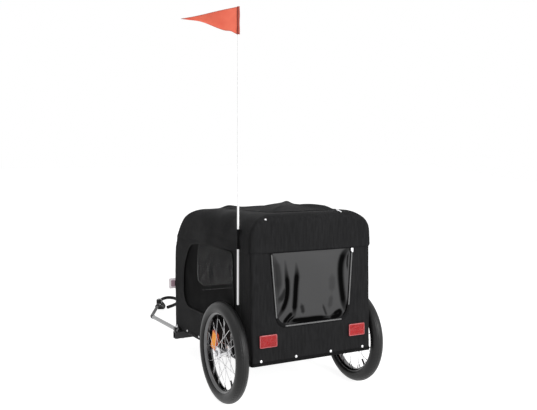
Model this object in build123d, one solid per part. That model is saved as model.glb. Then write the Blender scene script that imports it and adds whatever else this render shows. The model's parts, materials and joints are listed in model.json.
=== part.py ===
"""Dog bike trailer: a covered cabin on a tube frame, two spoked wheels and a side tow arm.

Every piece is first made with the trailer level, in millimetres: +X is its left side, -Y its
front, +Z up, the wheel axis on the plane y = 0 and the floor at z = 0. park() then lets the
nose down about the wheel axis until the foot of the hitch stands on the floor, and moves the
origin under the middle of the whole trailer.
"""
from build123d import *
import os
from math import asin, atan2, atan, cos, degrees, hypot, pi, radians, sin, sqrt, tan

# Driving dimensions, millimetres and degrees
WHEEL_R = 200.0          # outside of the tyre, a 16-inch wheel
TYRE_R = 26.0            # radius of the tyre's round section
TYRE_DEPTH = 41.0        # from the tyre's outside in to the rim it sits on
RIM_DEPTH = 13.0
RIM_W = 33.0
RIM_NARROW_W = 18.0      # at the rim's inner side, where the spokes end
TYRE_CLEAR = 11.0        # between a tyre and the cabin's side wall
HUB_L = 54.0
HUB_R = 13.0
HUB_FLANGE_R = 23.0
HUB_FLANGE_T = 2.4
HUB_FLANGE_IN = 5.0      # from the hub's end in to its flange
AXLE_R = 6.0
AXLE_FIT = 0.05          # radial clearance of a hub on its axle
AXLE_PAST = 10.0         # the axle's end, past the hub
AXLE_SHAKE = 1.0         # between the hub's ends and what holds it
NUT_R = 10.0
NUT_T = 8.0
SPOKES = 28
SPOKE_R = 1.0
SPOKE_TURN = 62.0        # a spoke's hub end is turned this far from its rim end
SPOKE_CROSS = 1.5        # crossing spokes lie this many radii to each side
SPOKE_RIM_SIDE = 5.0     # spokes end this far to each side of the rim's middle
SPOKE_HUB_FIT = 0.2
SPOKE_RIM_FIT = 0.4

CABIN_HALF_W = 272.0     # outside of the lower walls
CABIN_REAR = 178.0
CABIN_FRONT = -635.0
HEM_DROP = 25.0          # the hem, below the wheel axis
CABIN_H = 572.5          # from the hem to the underside of the roof cover
SEAM_H = 429.0           # from the hem to the lower edge of the roof cover
SEAM_LAP = 18.0          # how far the walls reach up inside the roof cover
SIDE_SEAM_IN = 88.0      # from the side wall in to the seam between roof top and roof side
WALL_T = 3.0
ROOF_T = 3.0
PAST = 60.0              # what cuts the cover reaches this far past it
AXLE_HOLE_GAP = 2.0
FRONT_KNEE_H = 275.0     # the front wall leans back above this height over the hem
FRONT_LEAN = 0.117       # millimetres back for each millimetre up
FRONT_TOP_R = 270.0      # front top corner, seen from the side
REAR_TOP_R = 38.0        # rear top corner, seen from the side
SHOULDER_REAR_R = 104.0  # roof to side wall, seen from behind
SHOULDER_FRONT_R = 46.0

DOOR_GAP = 0.8           # slot of the zip round a door
SEW_GAP = 0.3            # at the edge where a door or the hatch is sewn on
DOOR_BAND = 16.0         # cloth frame round a door's window
REAR_DOOR_TOP_W = 372.0
REAR_DOOR_LOW_W = 300.0
REAR_DOOR_LOW_H = 140.0  # over the hem
REAR_DOOR_CORNER_R = 34.0
FRONT_DOOR_W = 342.0
FRONT_DOOR_LOW_H = 165.0
FRONT_DOOR_CORNER_R = 56.0
WINDOW_REAR = 29.0       # side window, from the axle's plane
WINDOW_FRONT = -512.0
WINDOW_LOW_H = 125.0     # over the hem
WINDOW_TOP_H = 433.0
WINDOW_CROWN = -330.0    # where its top is highest
WINDOW_REAR_DROP = 16.0  # its top falls this much to the rear corner
WINDOW_BROW = 100.0      # from the crown forward to the front slope
WINDOW_BROW_DROP = 22.0
WINDOW_CHEEK_DROP = 128.0
WINDOW_TUCK = 45.0       # how far the lower front corner is cut off
WINDOW_REAR_LEAN = 8.0
WINDOW_CORNER_R = 24.0
HATCH_HALF_W = 160.0
HATCH_FRONT = -300.0
HATCH_REAR = 120.0
HATCH_CORNER_R = 36.0
HATCH_RISE = 30.0        # the slack hatch swells this much over the roof
MESH_T = 1.6

RAIL = 25.0              # base frame's square tube
RAIL_WALL = 2.0
RAIL_UP = 5.0            # from the hem up to the frame's underside
RAIL_IN = 2.0            # from the side wall in to the frame
FLOOR_T = 4.0
HOOP_R = 8.0             # round tube of the upper frame
COVER_FIT = 0.3          # between a frame tube and the cover
FRONT_HOOP_BEND = 235.0
SIDE_RAIL_FRONT_DROP = 66.0   # the side tubes' top bend, below the roof
SIDE_RAIL_REAR_DROP = 110.0
HOOP_KNEE_R = 200.0
HOOP_TOP_BACK = 14.0
BOW_R = 62.0
BOW_TUBE_R = 6.0
BOW_FOOT_H = 10.0
BOW_FOOT_IN = 70.0
BOW_FRONT_Y = -330.0
BOW_REAR_Y = -70.0

BAR = 30.0               # square bar under the frame that carries the tow arm
BAR_Y = -582.0
BAR_GAP = 15.0           # between the bar and the frame, filled by spacers
BAR_PAST_ARM = 14.0      # from the arm's middle to the bar's left end
BAR_RIGHT_IN = 5.0
ARM_R = 9.5
ARM_SIDE_GAP = 1.5       # between the arm and the side wall
ARM_REAR_Y = -556.0
ARM_SPLIT_Y = -938.0     # the straight tube ends and the bent front tube starts
ARM_BEND_Y = -949.0
ARM_FRONT_R = 8.0
ARM_BEND_R = 34.0
HITCH_X = 134.0
HITCH_Y = -1262.0
CLEVIS_L = 34.0
CLEVIS_W = 26.0
CLEVIS_HALF_H = 24.0
PIN_R = 4.0
PIN_FIT = 0.05
PIN_HEAD_R = 9.0
PIN_HEAD_T = 4.0
EYE_R = 11.0
TONGUE_T = 8.0
TONGUE_FIT = 0.5         # between the tongue and each ear of the clevis
TONGUE_L = 38.0          # from the hitch pin to the tongue's own bore
TONGUE_BORE_R = 5.1      # takes the pin of the bracket on the bicycle
KEEPER_BACK = 88.0       # from the hitch back along the arm
KEEPER_T = 4.0
KEEPER_L = 16.0
KEEPER_LUG = 26.0        # from the arm's middle to the strap's middle, sideways
KEEPER_DROP = 8.0        # and down
KEEPER_LUG_PAST = 3.0    # the lug's end stands past its collar
STRAP_R = 6.5
STRAP_CLEAR = 0.4        # under the strap, above the floor

# The strap's route in the finished frame, after its keeper: first the fall to the floor, in
# X, Y and Z, then X and Y along the floor
STRAP_FALL = [(52, -659, 15.5), (41.5, -682, 9)]
STRAP_ROUTE = [
    (30, -706), (22, -738), (20, -772), (17, -806), (2, -836), (-22, -857), (-50, -866),
    (-74, -852), (-86, -826), (-84, -792), (-74, -760), (-56, -732), (-32, -711), (-8, -695),
    (18, -680),
]

POLE_R = 4.0
POLE_GAP = 1.0           # between the pole and the roof cover
POLE_FOOT_H = 223.0      # over the hem
POLE_FOOT_Y = 80.0
POLE_L = 1130.0
POLE_LEAN = 0.0355       # millimetres back for each millimetre up
SLEEVE_LOW_H = 440.0     # over the hem
SLEEVE_TOP_H = 517.0
SLEEVE_W = 20.0
SLEEVE_T = 1.5
FLAG_HOIST = 103.0
FLAG_L = 232.0
FLAG_T = 1.6
FLAG_TURN = 25.5         # degrees forward of straight out to the left

REFLECTOR_W = 75.0
REFLECTOR_H = 48.0
REFLECTOR_T = 8.0
REAR_REFLECTOR_X = 202.5
REAR_REFLECTOR_H = 93.0  # its middle, over the hem
FRONT_REFLECTOR_OUT = 24.0    # the front ones stand out past the side walls
FRONT_REFLECTOR_H = 210.0
REFLECTOR_PAD_T = 6.0

# Worked out from these
WHEEL_X = CABIN_HALF_W + TYRE_CLEAR + TYRE_R
RIM_R = WHEEL_R - TYRE_DEPTH
HEM_Z = WHEEL_R - HEM_DROP
ROOF_Z = HEM_Z + CABIN_H
SEAM_Z = HEM_Z + SEAM_H
FRONT_KNEE_Z = HEM_Z + FRONT_KNEE_H
RAIL_OUT_X = CABIN_HALF_W - WALL_T - RAIL_IN
RAIL_LOW_Z = HEM_Z + RAIL_UP
POLE_X = CABIN_HALF_W + ROOF_T + POLE_GAP + POLE_R
POLE_FOOT_Z = HEM_Z + POLE_FOOT_H
POLE_TOP_Z = POLE_FOOT_Z + POLE_L
RAIL_MID_X = RAIL_OUT_X - RAIL / 2
RAIL_TOP_Z = RAIL_LOW_Z + RAIL
RAIL_REAR_Y = CABIN_REAR - WALL_T - COVER_FIT
RAIL_FRONT_Y = CABIN_FRONT + WALL_T + COVER_FIT
HOOP_INSET = WALL_T + COVER_FIT + HOOP_R
HOOP_X = CABIN_HALF_W - HOOP_INSET
REAR_CORNER_IN = (REAR_TOP_R - HOOP_INSET) * (1 - sqrt(0.5))
HOOP_REAR_Y = CABIN_REAR - HOOP_INSET - REAR_CORNER_IN
BAR_TOP_Z = RAIL_LOW_Z - BAR_GAP
ARM_X = CABIN_HALF_W + ARM_SIDE_GAP + ARM_R
ARM_Z = BAR_TOP_Z + ARM_R
HITCH_TURN = degrees(atan2(ARM_X - HITCH_X, ARM_BEND_Y - HITCH_Y))
PIN_X = HITCH_X - sin(radians(HITCH_TURN)) * CLEVIS_L / 4
PIN_Y = HITCH_Y - cos(radians(HITCH_TURN)) * CLEVIS_L / 4
FOOT_Y = PIN_Y - PIN_HEAD_R
FOOT_Z = ARM_Z - CLEVIS_HALF_H - PIN_HEAD_T
PARK_TILT = degrees(
    asin(WHEEL_R / hypot(FOOT_Y, WHEEL_R - FOOT_Z)) - atan((WHEEL_R - FOOT_Z) / -FOOT_Y)
)


def block(x0, x1, y0, y1, z0, z1):
    """Box between two corners."""
    box = Box(x1 - x0, y1 - y0, z1 - z0)
    return Pos((x0 + x1) / 2, (y0 + y1) / 2, (z0 + z1) / 2) * box


def rod(start, end, radius):
    """Round bar from one point to another."""
    a, b = Vector(*start), Vector(*end)
    plane = Plane(origin=a, z_dir=b - a)
    return extrude(plane * Circle(radius), amount=(b - a).length)


def bent_tube(points, bend, radius):
    """Round tube along straight runs joined by arcs."""
    path = FilletPolyline(*points, radius=bend)
    start = Plane(origin=path @ 0, z_dir=path % 0)
    return sweep(start * Circle(radius), path=path)


def square_tube(x0, x1, y0, y1, z0, z1, wall, along):
    """Hollow square tube, open at both ends of the named axis."""
    inset = {a: (0 if a == along else wall) for a in "xyz"}
    bore = block(
        x0 + inset["x"], x1 - inset["x"],
        y0 + inset["y"], y1 - inset["y"],
        z0 + inset["z"], z1 - inset["z"],
    )
    return block(x0, x1, y0, y1, z0, z1) - bore


def front_line_y(z, inset):
    """Distance forward of the leaning part of the front wall, at a height."""
    return CABIN_FRONT + FRONT_LEAN * (z - FRONT_KNEE_Z) + inset * sqrt(1 + FRONT_LEAN**2)


def cabin_body(inset):
    """Solid with the cabin's outer shape, brought in by a wall's thickness on every side."""
    knee = FRONT_KNEE_Z - inset * (sqrt(1 + FRONT_LEAN**2) - 1) / FRONT_LEAN
    top = ROOF_Z - inset
    low = HEM_Z - RAIL
    side = Polyline(
        (CABIN_REAR - inset, low),
        (CABIN_REAR - inset, top),
        (front_line_y(top, inset), top),
        (CABIN_FRONT + inset, knee),
        (CABIN_FRONT + inset, low),
        close=True,
    )
    outline = make_face(Plane.YZ * side)
    upper = outline.vertices().sort_by(Axis.Z)[-2:].sort_by(Axis.Y)
    outline = fillet(upper[0], FRONT_TOP_R - inset)
    upper = outline.vertices().sort_by(Axis.Z)[-2:].sort_by(Axis.Y)
    outline = fillet(upper[-1], REAR_TOP_R - inset)
    long_way = extrude(outline, amount=CABIN_HALF_W + PAST, both=True)
    sections = []
    past = 2 * ROOF_T
    for y, shoulder in (
        (CABIN_REAR + past, SHOULDER_REAR_R),
        (CABIN_FRONT - past, SHOULDER_FRONT_R),
    ):
        half = CABIN_HALF_W - inset
        arch = make_face(Polyline((-half, low), (-half, top), (half, top), (half, low), close=True))
        corners = arch.vertices().sort_by(Axis.Y)[-2:]
        arch = fillet(corners, shoulder - inset)
        sections.append(Plane(origin=(0, y, 0), x_dir=(1, 0, 0), z_dir=(0, -1, 0)) * arch)
    cross_way = loft(sections, ruled=True)
    return long_way & cross_way


def front_wall_y(z, inset=0.0):
    """Where the front wall's surface is at a height, on its straight or its rounded part."""
    radius = FRONT_TOP_R - inset
    lean = atan(FRONT_LEAN)
    centre_z = ROOF_Z - inset - radius
    if z <= FRONT_KNEE_Z:
        return CABIN_FRONT + inset
    start_z = centre_z + radius * sin(lean)
    if z <= start_z:
        return front_line_y(z, inset)
    centre_y = front_line_y(start_z, inset) + radius * cos(lean)
    return centre_y - sqrt(radius**2 - (z - centre_z) ** 2)


def rear_door_outline(grow=0.0, sewn_grow=0.0):
    """Outline of the rear window door on the rear wall, wider at its top, in X and Z."""
    top, low = REAR_DOOR_TOP_W / 2 + grow, REAR_DOOR_LOW_W / 2 + grow
    z_low, z_top = HEM_Z + REAR_DOOR_LOW_H - grow, SEAM_Z - SEW_GAP + sewn_grow
    face = make_face(Polyline((-top, z_top), (top, z_top), (low, z_low), (-low, z_low), close=True))
    return fillet(face.vertices().sort_by(Axis.Y)[:2], REAR_DOOR_CORNER_R + grow)


def front_door_outline(grow=0.0, sewn_grow=0.0):
    """Outline of the front door, in X and Z."""
    half = FRONT_DOOR_W / 2 + grow
    z_low, z_top = HEM_Z + FRONT_DOOR_LOW_H - grow, SEAM_Z - SEW_GAP + sewn_grow
    face = make_face(Polyline((-half, z_top), (half, z_top), (half, z_low), (-half, z_low), close=True))
    return fillet(face.vertices().sort_by(Axis.Y)[:2], FRONT_DOOR_CORNER_R + grow)


def side_window_outline():
    """Outline of a side window, in Y and Z: a tall front, a sloping top and a low front corner."""
    low, top = HEM_Z + WINDOW_LOW_H, HEM_Z + WINDOW_TOP_H
    brow = WINDOW_CROWN - WINDOW_BROW
    points = [
        (WINDOW_REAR, low),
        (WINDOW_REAR - WINDOW_REAR_LEAN, top - WINDOW_REAR_DROP),
        (WINDOW_CROWN, top),
        (brow, top - WINDOW_BROW_DROP),
        (WINDOW_FRONT + WINDOW_REAR_LEAN, top - WINDOW_CHEEK_DROP),
        (WINDOW_FRONT, low + WINDOW_TUCK),
        (WINDOW_FRONT + WINDOW_TUCK, low),
    ]
    face = make_face(Polyline(*points, close=True))
    return fillet(face.vertices(), WINDOW_CORNER_R)


def hatch_outline(grow=0.0, sewn_grow=0.0):
    """Outline of the roof hatch, sewn on along its front edge, in X and Y."""
    front, rear = HATCH_FRONT - sewn_grow, HATCH_REAR + grow
    plate = RectangleRounded(2 * (HATCH_HALF_W + grow), rear - front, HATCH_CORNER_R + grow)
    return Pos(0, (front + rear) / 2) * plate


def arch_profile(half, rise, low):
    """Flat-sided shape under a circular arch that ends on y = 0 at each side."""
    arc = ThreePointArc((-half, 0), (0, rise), (half, 0))
    sides = Polyline((half, 0), (half, -low), (-half, -low), (-half, 0))
    return make_face([arc, sides])


def hatch_swell(lift):
    """Everything under the swollen hatch's face: two crossing arches over the roof."""
    base = ROOF_Z + lift
    half_w = HATCH_HALF_W + 2 * DOOR_GAP
    half_l = (HATCH_REAR - HATCH_FRONT) / 2 + 2 * DOOR_GAP
    middle = (HATCH_REAR + HATCH_FRONT) / 2
    depth = ROOF_Z - SEAM_Z
    across = Plane(origin=(0, middle, base), x_dir=(1, 0, 0), z_dir=(0, -1, 0))
    along = Plane(origin=(0, middle, base), x_dir=(0, 1, 0), z_dir=(1, 0, 0))
    vault = extrude(across * arch_profile(half_w, HATCH_RISE, depth), amount=half_l, both=True)
    return vault & extrude(along * arch_profile(half_l, HATCH_RISE, depth), amount=half_w, both=True)


def through_wall(outline, y0, y1):
    """Prism of an outline in X and Z, from one depth to another."""
    plane = Plane(origin=(0, y0, 0), x_dir=(1, 0, 0), z_dir=(0, -1, 0))
    return extrude(plane * outline, amount=y0 - y1)


def make_cover():
    """Cloth walls, roof cover, doors, hatch and mesh windows, cut out of thin cabin shells."""
    outer, inner, over = cabin_body(0), cabin_body(WALL_T), cabin_body(-ROOF_T)
    wide, back, front = CABIN_HALF_W + PAST, CABIN_REAR + PAST, CABIN_FRONT - PAST
    walls = (outer - inner) & block(-wide, wide, front, back, HEM_Z, SEAM_Z + SEAM_LAP)
    roof = (over - outer) & block(-wide, wide, front, back, SEAM_Z, ROOF_Z + PAST)
    edge = CABIN_HALF_W - WALL_T
    middle_y = (CABIN_REAR + CABIN_FRONT) / 2
    rear = walls & block(-edge, edge, middle_y, back, 0, ROOF_Z)
    fore = walls & block(-edge, edge, front, middle_y, 0, ROOF_Z)

    rear_cut = through_wall(rear_door_outline(DOOR_GAP, SEW_GAP), back, middle_y)
    rear_plate = through_wall(rear_door_outline(), back, middle_y)
    rear_film = through_wall(rear_door_outline(-DOOR_BAND, -DOOR_BAND), back, middle_y)
    front_cut = through_wall(front_door_outline(DOOR_GAP, SEW_GAP), middle_y, front)
    front_plate = through_wall(front_door_outline(), middle_y, front)
    front_mesh = through_wall(front_door_outline(-DOOR_BAND, -DOOR_BAND), middle_y, front)

    parts = {
        "wall_rear": rear - rear_cut,
        "rear_door_band": (rear & rear_plate) - rear_film,
        "rear_door_window": rear & rear_film,
        "wall_front": fore - front_cut,
        "front_door_band": (fore & front_plate) - front_mesh,
        "front_door_mesh": fore & front_mesh,
    }
    for name, sign in (("left", 1), ("right", -1)):
        half = block(min(sign * edge, sign * wide), max(sign * edge, sign * wide), front, back, 0, ROOF_Z)
        side = walls & half
        window = extrude(Plane.YZ * side_window_outline(), amount=sign * wide)
        axle_hole = Pos(sign * edge, 0, WHEEL_R) * Rot(Y=90) * Cylinder(HUB_R + AXLE_HOLE_GAP, 4 * WALL_T)
        parts[f"wall_{name}"] = side - window - axle_hole
        mesh_half = block(
            min(sign * edge, sign * (edge + MESH_T)), max(sign * edge, sign * (edge + MESH_T)),
            front, back, 0, ROOF_Z,
        )
        parts[f"window_mesh_{name}"] = side & window & mesh_half
    hatch_cut = extrude(Plane.XY.offset(SEAM_Z) * hatch_outline(DOOR_GAP, SEW_GAP), amount=ROOF_Z)
    hatch_plate = extrude(Plane.XY.offset(SEAM_Z) * hatch_outline(), amount=ROOF_Z)
    seam_x = CABIN_HALF_W - SIDE_SEAM_IN
    parts["roof_top"] = (roof & block(-seam_x, seam_x, front, back, 0, 2 * ROOF_Z)) - hatch_cut
    parts["roof_side_left"] = roof & block(seam_x, wide, front, back, 0, 2 * ROOF_Z)
    parts["roof_side_right"] = roof & block(-wide, -seam_x, front, back, 0, 2 * ROOF_Z)
    parts["roof_hatch"] = hatch_plate & (hatch_swell(ROOF_T) - hatch_swell(0))
    return parts


def make_base():
    """Square tube frame under the floor, with the floor panel and the axle bosses."""
    parts = {}
    inner = RAIL_OUT_X - RAIL
    for name, sign in (("left", 1), ("right", -1)):
        x0, x1 = sorted((sign * inner, sign * RAIL_OUT_X))
        parts[f"base_rail_{name}"] = square_tube(
            x0, x1, RAIL_FRONT_Y, RAIL_REAR_Y, RAIL_LOW_Z, RAIL_TOP_Z, RAIL_WALL, "y"
        )
    for name, y0 in (
        ("front", RAIL_FRONT_Y),
        ("middle", -RAIL / 2),
        ("rear", RAIL_REAR_Y - RAIL),
    ):
        parts[f"base_cross_{name}"] = square_tube(
            -inner, inner, y0, y0 + RAIL, RAIL_LOW_Z, RAIL_TOP_Z, RAIL_WALL, "x"
        )
    parts["floor_panel"] = block(
        -inner, inner, RAIL_FRONT_Y, RAIL_REAR_Y, RAIL_TOP_Z, RAIL_TOP_Z + FLOOR_T
    )
    return parts


def make_frame():
    """Bent tubes that carry the cover: a rear hoop, two side tubes and two roof bows."""
    parts = {}
    inset = HOOP_INSET
    top = ROOF_Z - inset
    hoop_top = top - REAR_CORNER_IN
    parts["hoop_rear"] = bent_tube(
        [
            (-HOOP_X, HOOP_REAR_Y, RAIL_TOP_Z),
            (-HOOP_X, HOOP_REAR_Y, hoop_top),
            (HOOP_X, HOOP_REAR_Y, hoop_top),
            (HOOP_X, HOOP_REAR_Y, RAIL_TOP_Z),
        ],
        SHOULDER_REAR_R - inset - REAR_CORNER_IN,
        HOOP_R,
    )
    bend_z = ROOF_Z - SIDE_RAIL_FRONT_DROP
    bend_y = front_line_y(bend_z, inset) + HOOP_TOP_BACK
    end_z = ROOF_Z - SIDE_RAIL_REAR_DROP
    end_y = HOOP_REAR_Y - HOOP_R - 2.6 * COVER_FIT
    for name, sign in (("left", 1), ("right", -1)):
        x = sign * HOOP_X
        parts[f"hoop_side_{name}"] = bent_tube(
            [
                (x, CABIN_FRONT + inset, RAIL_TOP_Z),
                (x, CABIN_FRONT + inset, FRONT_KNEE_Z - HOOP_R),
                (x, bend_y, bend_z),
                (x, end_y, end_z),
            ],
            [HOOP_KNEE_R, FRONT_HOOP_BEND],
            HOOP_R,
        )
    for name, y in (("front", BOW_FRONT_Y), ("rear", BOW_REAR_Y)):
        rail_z = bend_z + (end_z - bend_z) * (y - bend_y) / (end_y - bend_y)
        foot_z = rail_z + HOOP_R + 1.3 * COVER_FIT
        shoulder_z = foot_z + BOW_FOOT_H
        bow_top = ROOF_Z - WALL_T - COVER_FIT - BOW_TUBE_R
        parts[f"roof_bow_{name}"] = bent_tube(
            [
                (-HOOP_X, y, foot_z),
                (-HOOP_X, y, shoulder_z),
                (-HOOP_X + BOW_FOOT_IN, y, bow_top),
                (HOOP_X - BOW_FOOT_IN, y, bow_top),
                (HOOP_X, y, shoulder_z),
                (HOOP_X, y, foot_z),
            ],
            [2 * BOW_TUBE_R, BOW_R, BOW_R, 2 * BOW_TUBE_R],
            BOW_TUBE_R,
        )
    return parts


def make_wheel(sign):
    """One wheel's tyre, rim, spokes and hub, with its own axle and nut."""
    x_mid = sign * WHEEL_X
    side = "left" if sign > 0 else "right"
    place = Pos(x_mid, 0, WHEEL_R) * Rot(Y=90 * sign)
    tyre = Torus(WHEEL_R - TYRE_R, TYRE_R) - Cylinder(RIM_R, 4 * TYRE_R)
    inner_r = RIM_R - RIM_DEPTH
    section = make_face(
        Polyline(
            (inner_r, -RIM_NARROW_W / 2), (inner_r + RIM_DEPTH / 2, -RIM_W / 2),
            (RIM_R, -RIM_W / 2), (RIM_R, RIM_W / 2),
            (inner_r + RIM_DEPTH / 2, RIM_W / 2), (inner_r, RIM_NARROW_W / 2),
            close=True,
        )
    )
    rim = revolve(Plane.XZ * section, Axis.Z)
    bore = Cylinder(AXLE_R + AXLE_FIT, 2 * HUB_L)
    hub = Cylinder(HUB_R, HUB_L)
    flange_z = HUB_L / 2 - HUB_FLANGE_IN
    for z in (-flange_z, flange_z):
        hub += Pos(0, 0, z) * Cylinder(HUB_FLANGE_R, HUB_FLANGE_T)
    spokes = []
    start_r = HUB_FLANGE_R + SPOKE_R + SPOKE_HUB_FIT
    end_r = RIM_R - RIM_DEPTH - SPOKE_RIM_FIT
    for i in range(SPOKES):
        face = 1 if i % 2 else -1
        lead = 1 if (i // 2) % 2 else -1
        rim_angle = 360 / SPOKES * i
        hub_angle = rim_angle + lead * SPOKE_TURN
        z_hub = face * flange_z + lead * SPOKE_CROSS * SPOKE_R
        z_rim = face * SPOKE_RIM_SIDE + lead * SPOKE_CROSS * SPOKE_R
        a, b = radians(hub_angle), radians(rim_angle)
        start = (start_r * cos(a), start_r * sin(a), z_hub)
        end = (end_r * cos(b), end_r * sin(b), z_rim)
        spokes.append(rod(start, end, SPOKE_R))
    parts = {
        f"tyre_{side}": place * tyre,
        f"rim_{side}": place * rim,
        f"spokes_{side}": Compound([place * s for s in spokes]),
        f"hub_{side}": place * (hub - bore),
    }
    boss_end = WHEEL_X - HUB_L / 2 - AXLE_SHAKE
    pin_end = WHEEL_X + HUB_L / 2 + AXLE_PAST
    boss = Pos(0, 0, (RAIL_OUT_X + boss_end) / 2) * Cylinder(HUB_R, boss_end - RAIL_OUT_X)
    pin = Pos(0, 0, (boss_end + pin_end) / 2) * Cylinder(AXLE_R, pin_end - boss_end)
    nut_low = WHEEL_X + HUB_L / 2 + AXLE_SHAKE
    nut = Pos(0, 0, nut_low) * extrude(RegularPolygon(NUT_R, 6), amount=NUT_T)
    parts[f"axle_{side}"] = Pos(0, 0, WHEEL_R) * Rot(Y=90 * sign) * (boss + pin + nut)
    return parts


def make_tow_arm():
    """Square bar under the frame, the arm's two tubes, its clevis and pin, and the tongue."""
    parts = {}
    bar_left, bar_right = ARM_X + BAR_PAST_ARM, -RAIL_OUT_X + BAR_RIGHT_IN
    bar_front, bar_rear = BAR_Y - BAR / 2, BAR_Y + BAR / 2
    parts["tow_bar"] = square_tube(
        bar_right, bar_left, bar_front, bar_rear, BAR_TOP_Z - BAR, BAR_TOP_Z, RAIL_WALL, "x"
    )
    for name, sign in (("left", 1), ("right", -1)):
        x0, x1 = sorted((sign * (RAIL_OUT_X - RAIL), sign * (RAIL_OUT_X - BAR_RIGHT_IN)))
        parts[f"tow_bar_spacer_{name}"] = block(x0, x1, bar_front, bar_rear, BAR_TOP_Z, RAIL_LOW_Z)
    parts["tow_arm"] = rod((ARM_X, ARM_REAR_Y, ARM_Z), (ARM_X, ARM_SPLIT_Y, ARM_Z), ARM_R)
    turn = radians(HITCH_TURN)
    forward = Vector(-sin(turn), -cos(turn), 0)
    hitch = Vector(HITCH_X, HITCH_Y, ARM_Z)
    end = hitch - forward * (CLEVIS_L / 2)
    parts["tow_arm_front"] = bent_tube(
        [(ARM_X, ARM_SPLIT_Y, ARM_Z), (ARM_X, ARM_BEND_Y, ARM_Z), end], ARM_BEND_R, ARM_FRONT_R
    )
    clamp_front, clamp_rear = BAR_Y - BAR / 3, BAR_Y + BAR / 3
    clamp_top = ARM_Z + ARM_R + 2 * ARM_SIDE_GAP
    left_side = ARM_X - ARM_R - ARM_SIDE_GAP / 2
    clamp = block(left_side, bar_left, clamp_front, clamp_rear, ARM_Z, clamp_top)
    clamp += block(ARM_X + ARM_R / 2, bar_left, clamp_front, clamp_rear, BAR_TOP_Z, clamp_top)
    parts["tow_arm_clamp"] = clamp - parts["tow_arm"]

    body = Box(CLEVIS_W, CLEVIS_L, 2 * CLEVIS_HALF_H)
    slot = Pos(0, -CLEVIS_L / 2, 0) * Box(2 * CLEVIS_W, 1.5 * CLEVIS_L, TONGUE_T + 2 * TONGUE_FIT)
    pin_hole = Pos(0, -CLEVIS_L / 4, 0) * Cylinder(PIN_R, 3 * CLEVIS_HALF_H)
    parts["clevis"] = Pos(*hitch) * Rot(Z=-HITCH_TURN) * (body - slot - pin_hole)
    at_pin = Pos(PIN_X, PIN_Y, ARM_Z) * Rot(Z=-HITCH_TURN)
    shank = Cylinder(PIN_R, 2 * CLEVIS_HALF_H)
    head = Cylinder(PIN_HEAD_R, PIN_HEAD_T)
    lift = CLEVIS_HALF_H + PIN_HEAD_T / 2
    parts["hitch_pin"] = at_pin * (shank + Pos(0, 0, -lift) * head + Pos(0, 0, lift) * head)

    tip = Pos(0, -TONGUE_L, 0)
    tongue = Cylinder(EYE_R, TONGUE_T) + tip * Cylinder(EYE_R, TONGUE_T)
    tongue += Pos(0, -TONGUE_L / 2, 0) * Box(2 * EYE_R, TONGUE_L, TONGUE_T)
    bores = Cylinder(PIN_R + PIN_FIT, 2 * TONGUE_T) + tip * Cylinder(TONGUE_BORE_R, 2 * TONGUE_T)
    parts["coupler"] = at_pin * (tongue - bores)

    at_keeper = Pos(*(hitch - forward * KEEPER_BACK)) * Rot(Z=-HITCH_TURN)
    collar = Rot(X=90) * Cylinder(ARM_FRONT_R + KEEPER_T, KEEPER_L)
    lug = block(
        -KEEPER_LUG - STRAP_R, -ARM_FRONT_R / 2,
        -KEEPER_L / 2 - KEEPER_LUG_PAST, KEEPER_L / 2,
        -KEEPER_DROP - STRAP_R, -KEEPER_DROP + STRAP_R,
    )
    arm_room = Rot(X=90) * Cylinder(ARM_FRONT_R, 3 * KEEPER_L)
    parts["strap_keeper"] = at_keeper * (collar + lug - arm_room)
    return parts


def pole_point(z):
    """The flag pole's middle at a height; it leans back a little."""
    return (POLE_X, POLE_FOOT_Y + POLE_LEAN * (z - POLE_FOOT_Z), z)


def make_flag():
    """Flag pole, its sleeve on the roof cover and the pennant."""
    parts = {}
    pole = rod(pole_point(POLE_FOOT_Z), pole_point(POLE_TOP_Z), POLE_R)
    pole = fillet(pole.edges().filter_by(GeomType.CIRCLE).sort_by(Axis.Z)[0], POLE_R * 0.9)
    parts["flag_pole"] = pole
    sleeve_low, sleeve_top = HEM_Z + SLEEVE_LOW_H, HEM_Z + SLEEVE_TOP_H
    y = pole_point((sleeve_low + sleeve_top) / 2)[1]
    sleeve = block(
        POLE_X - SLEEVE_W, POLE_X + POLE_R + SLEEVE_T,
        y - SLEEVE_W / 2, y + SLEEVE_W / 2, sleeve_low, sleeve_top,
    )
    parts["pole_sleeve"] = sleeve - cabin_body(-ROOF_T) - pole
    low = POLE_TOP_Z - FLAG_HOIST
    hem = rod(pole_point(low), pole_point(POLE_TOP_Z), POLE_R + 2)
    turn = radians(FLAG_TURN)
    plane = Plane(
        origin=pole_point((low + POLE_TOP_Z) / 2),
        x_dir=(cos(turn), -sin(turn), 0),
        z_dir=(sin(turn), cos(turn), 0),
    )
    half = FLAG_HOIST / 2 - 0.5
    pennant = make_face(Polyline((0, -half), (0, half), (FLAG_L, 0), close=True))
    cloth = extrude(plane * pennant, amount=FLAG_T / 2, both=True)
    parts["flag"] = hem + cloth - pole
    return parts


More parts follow.
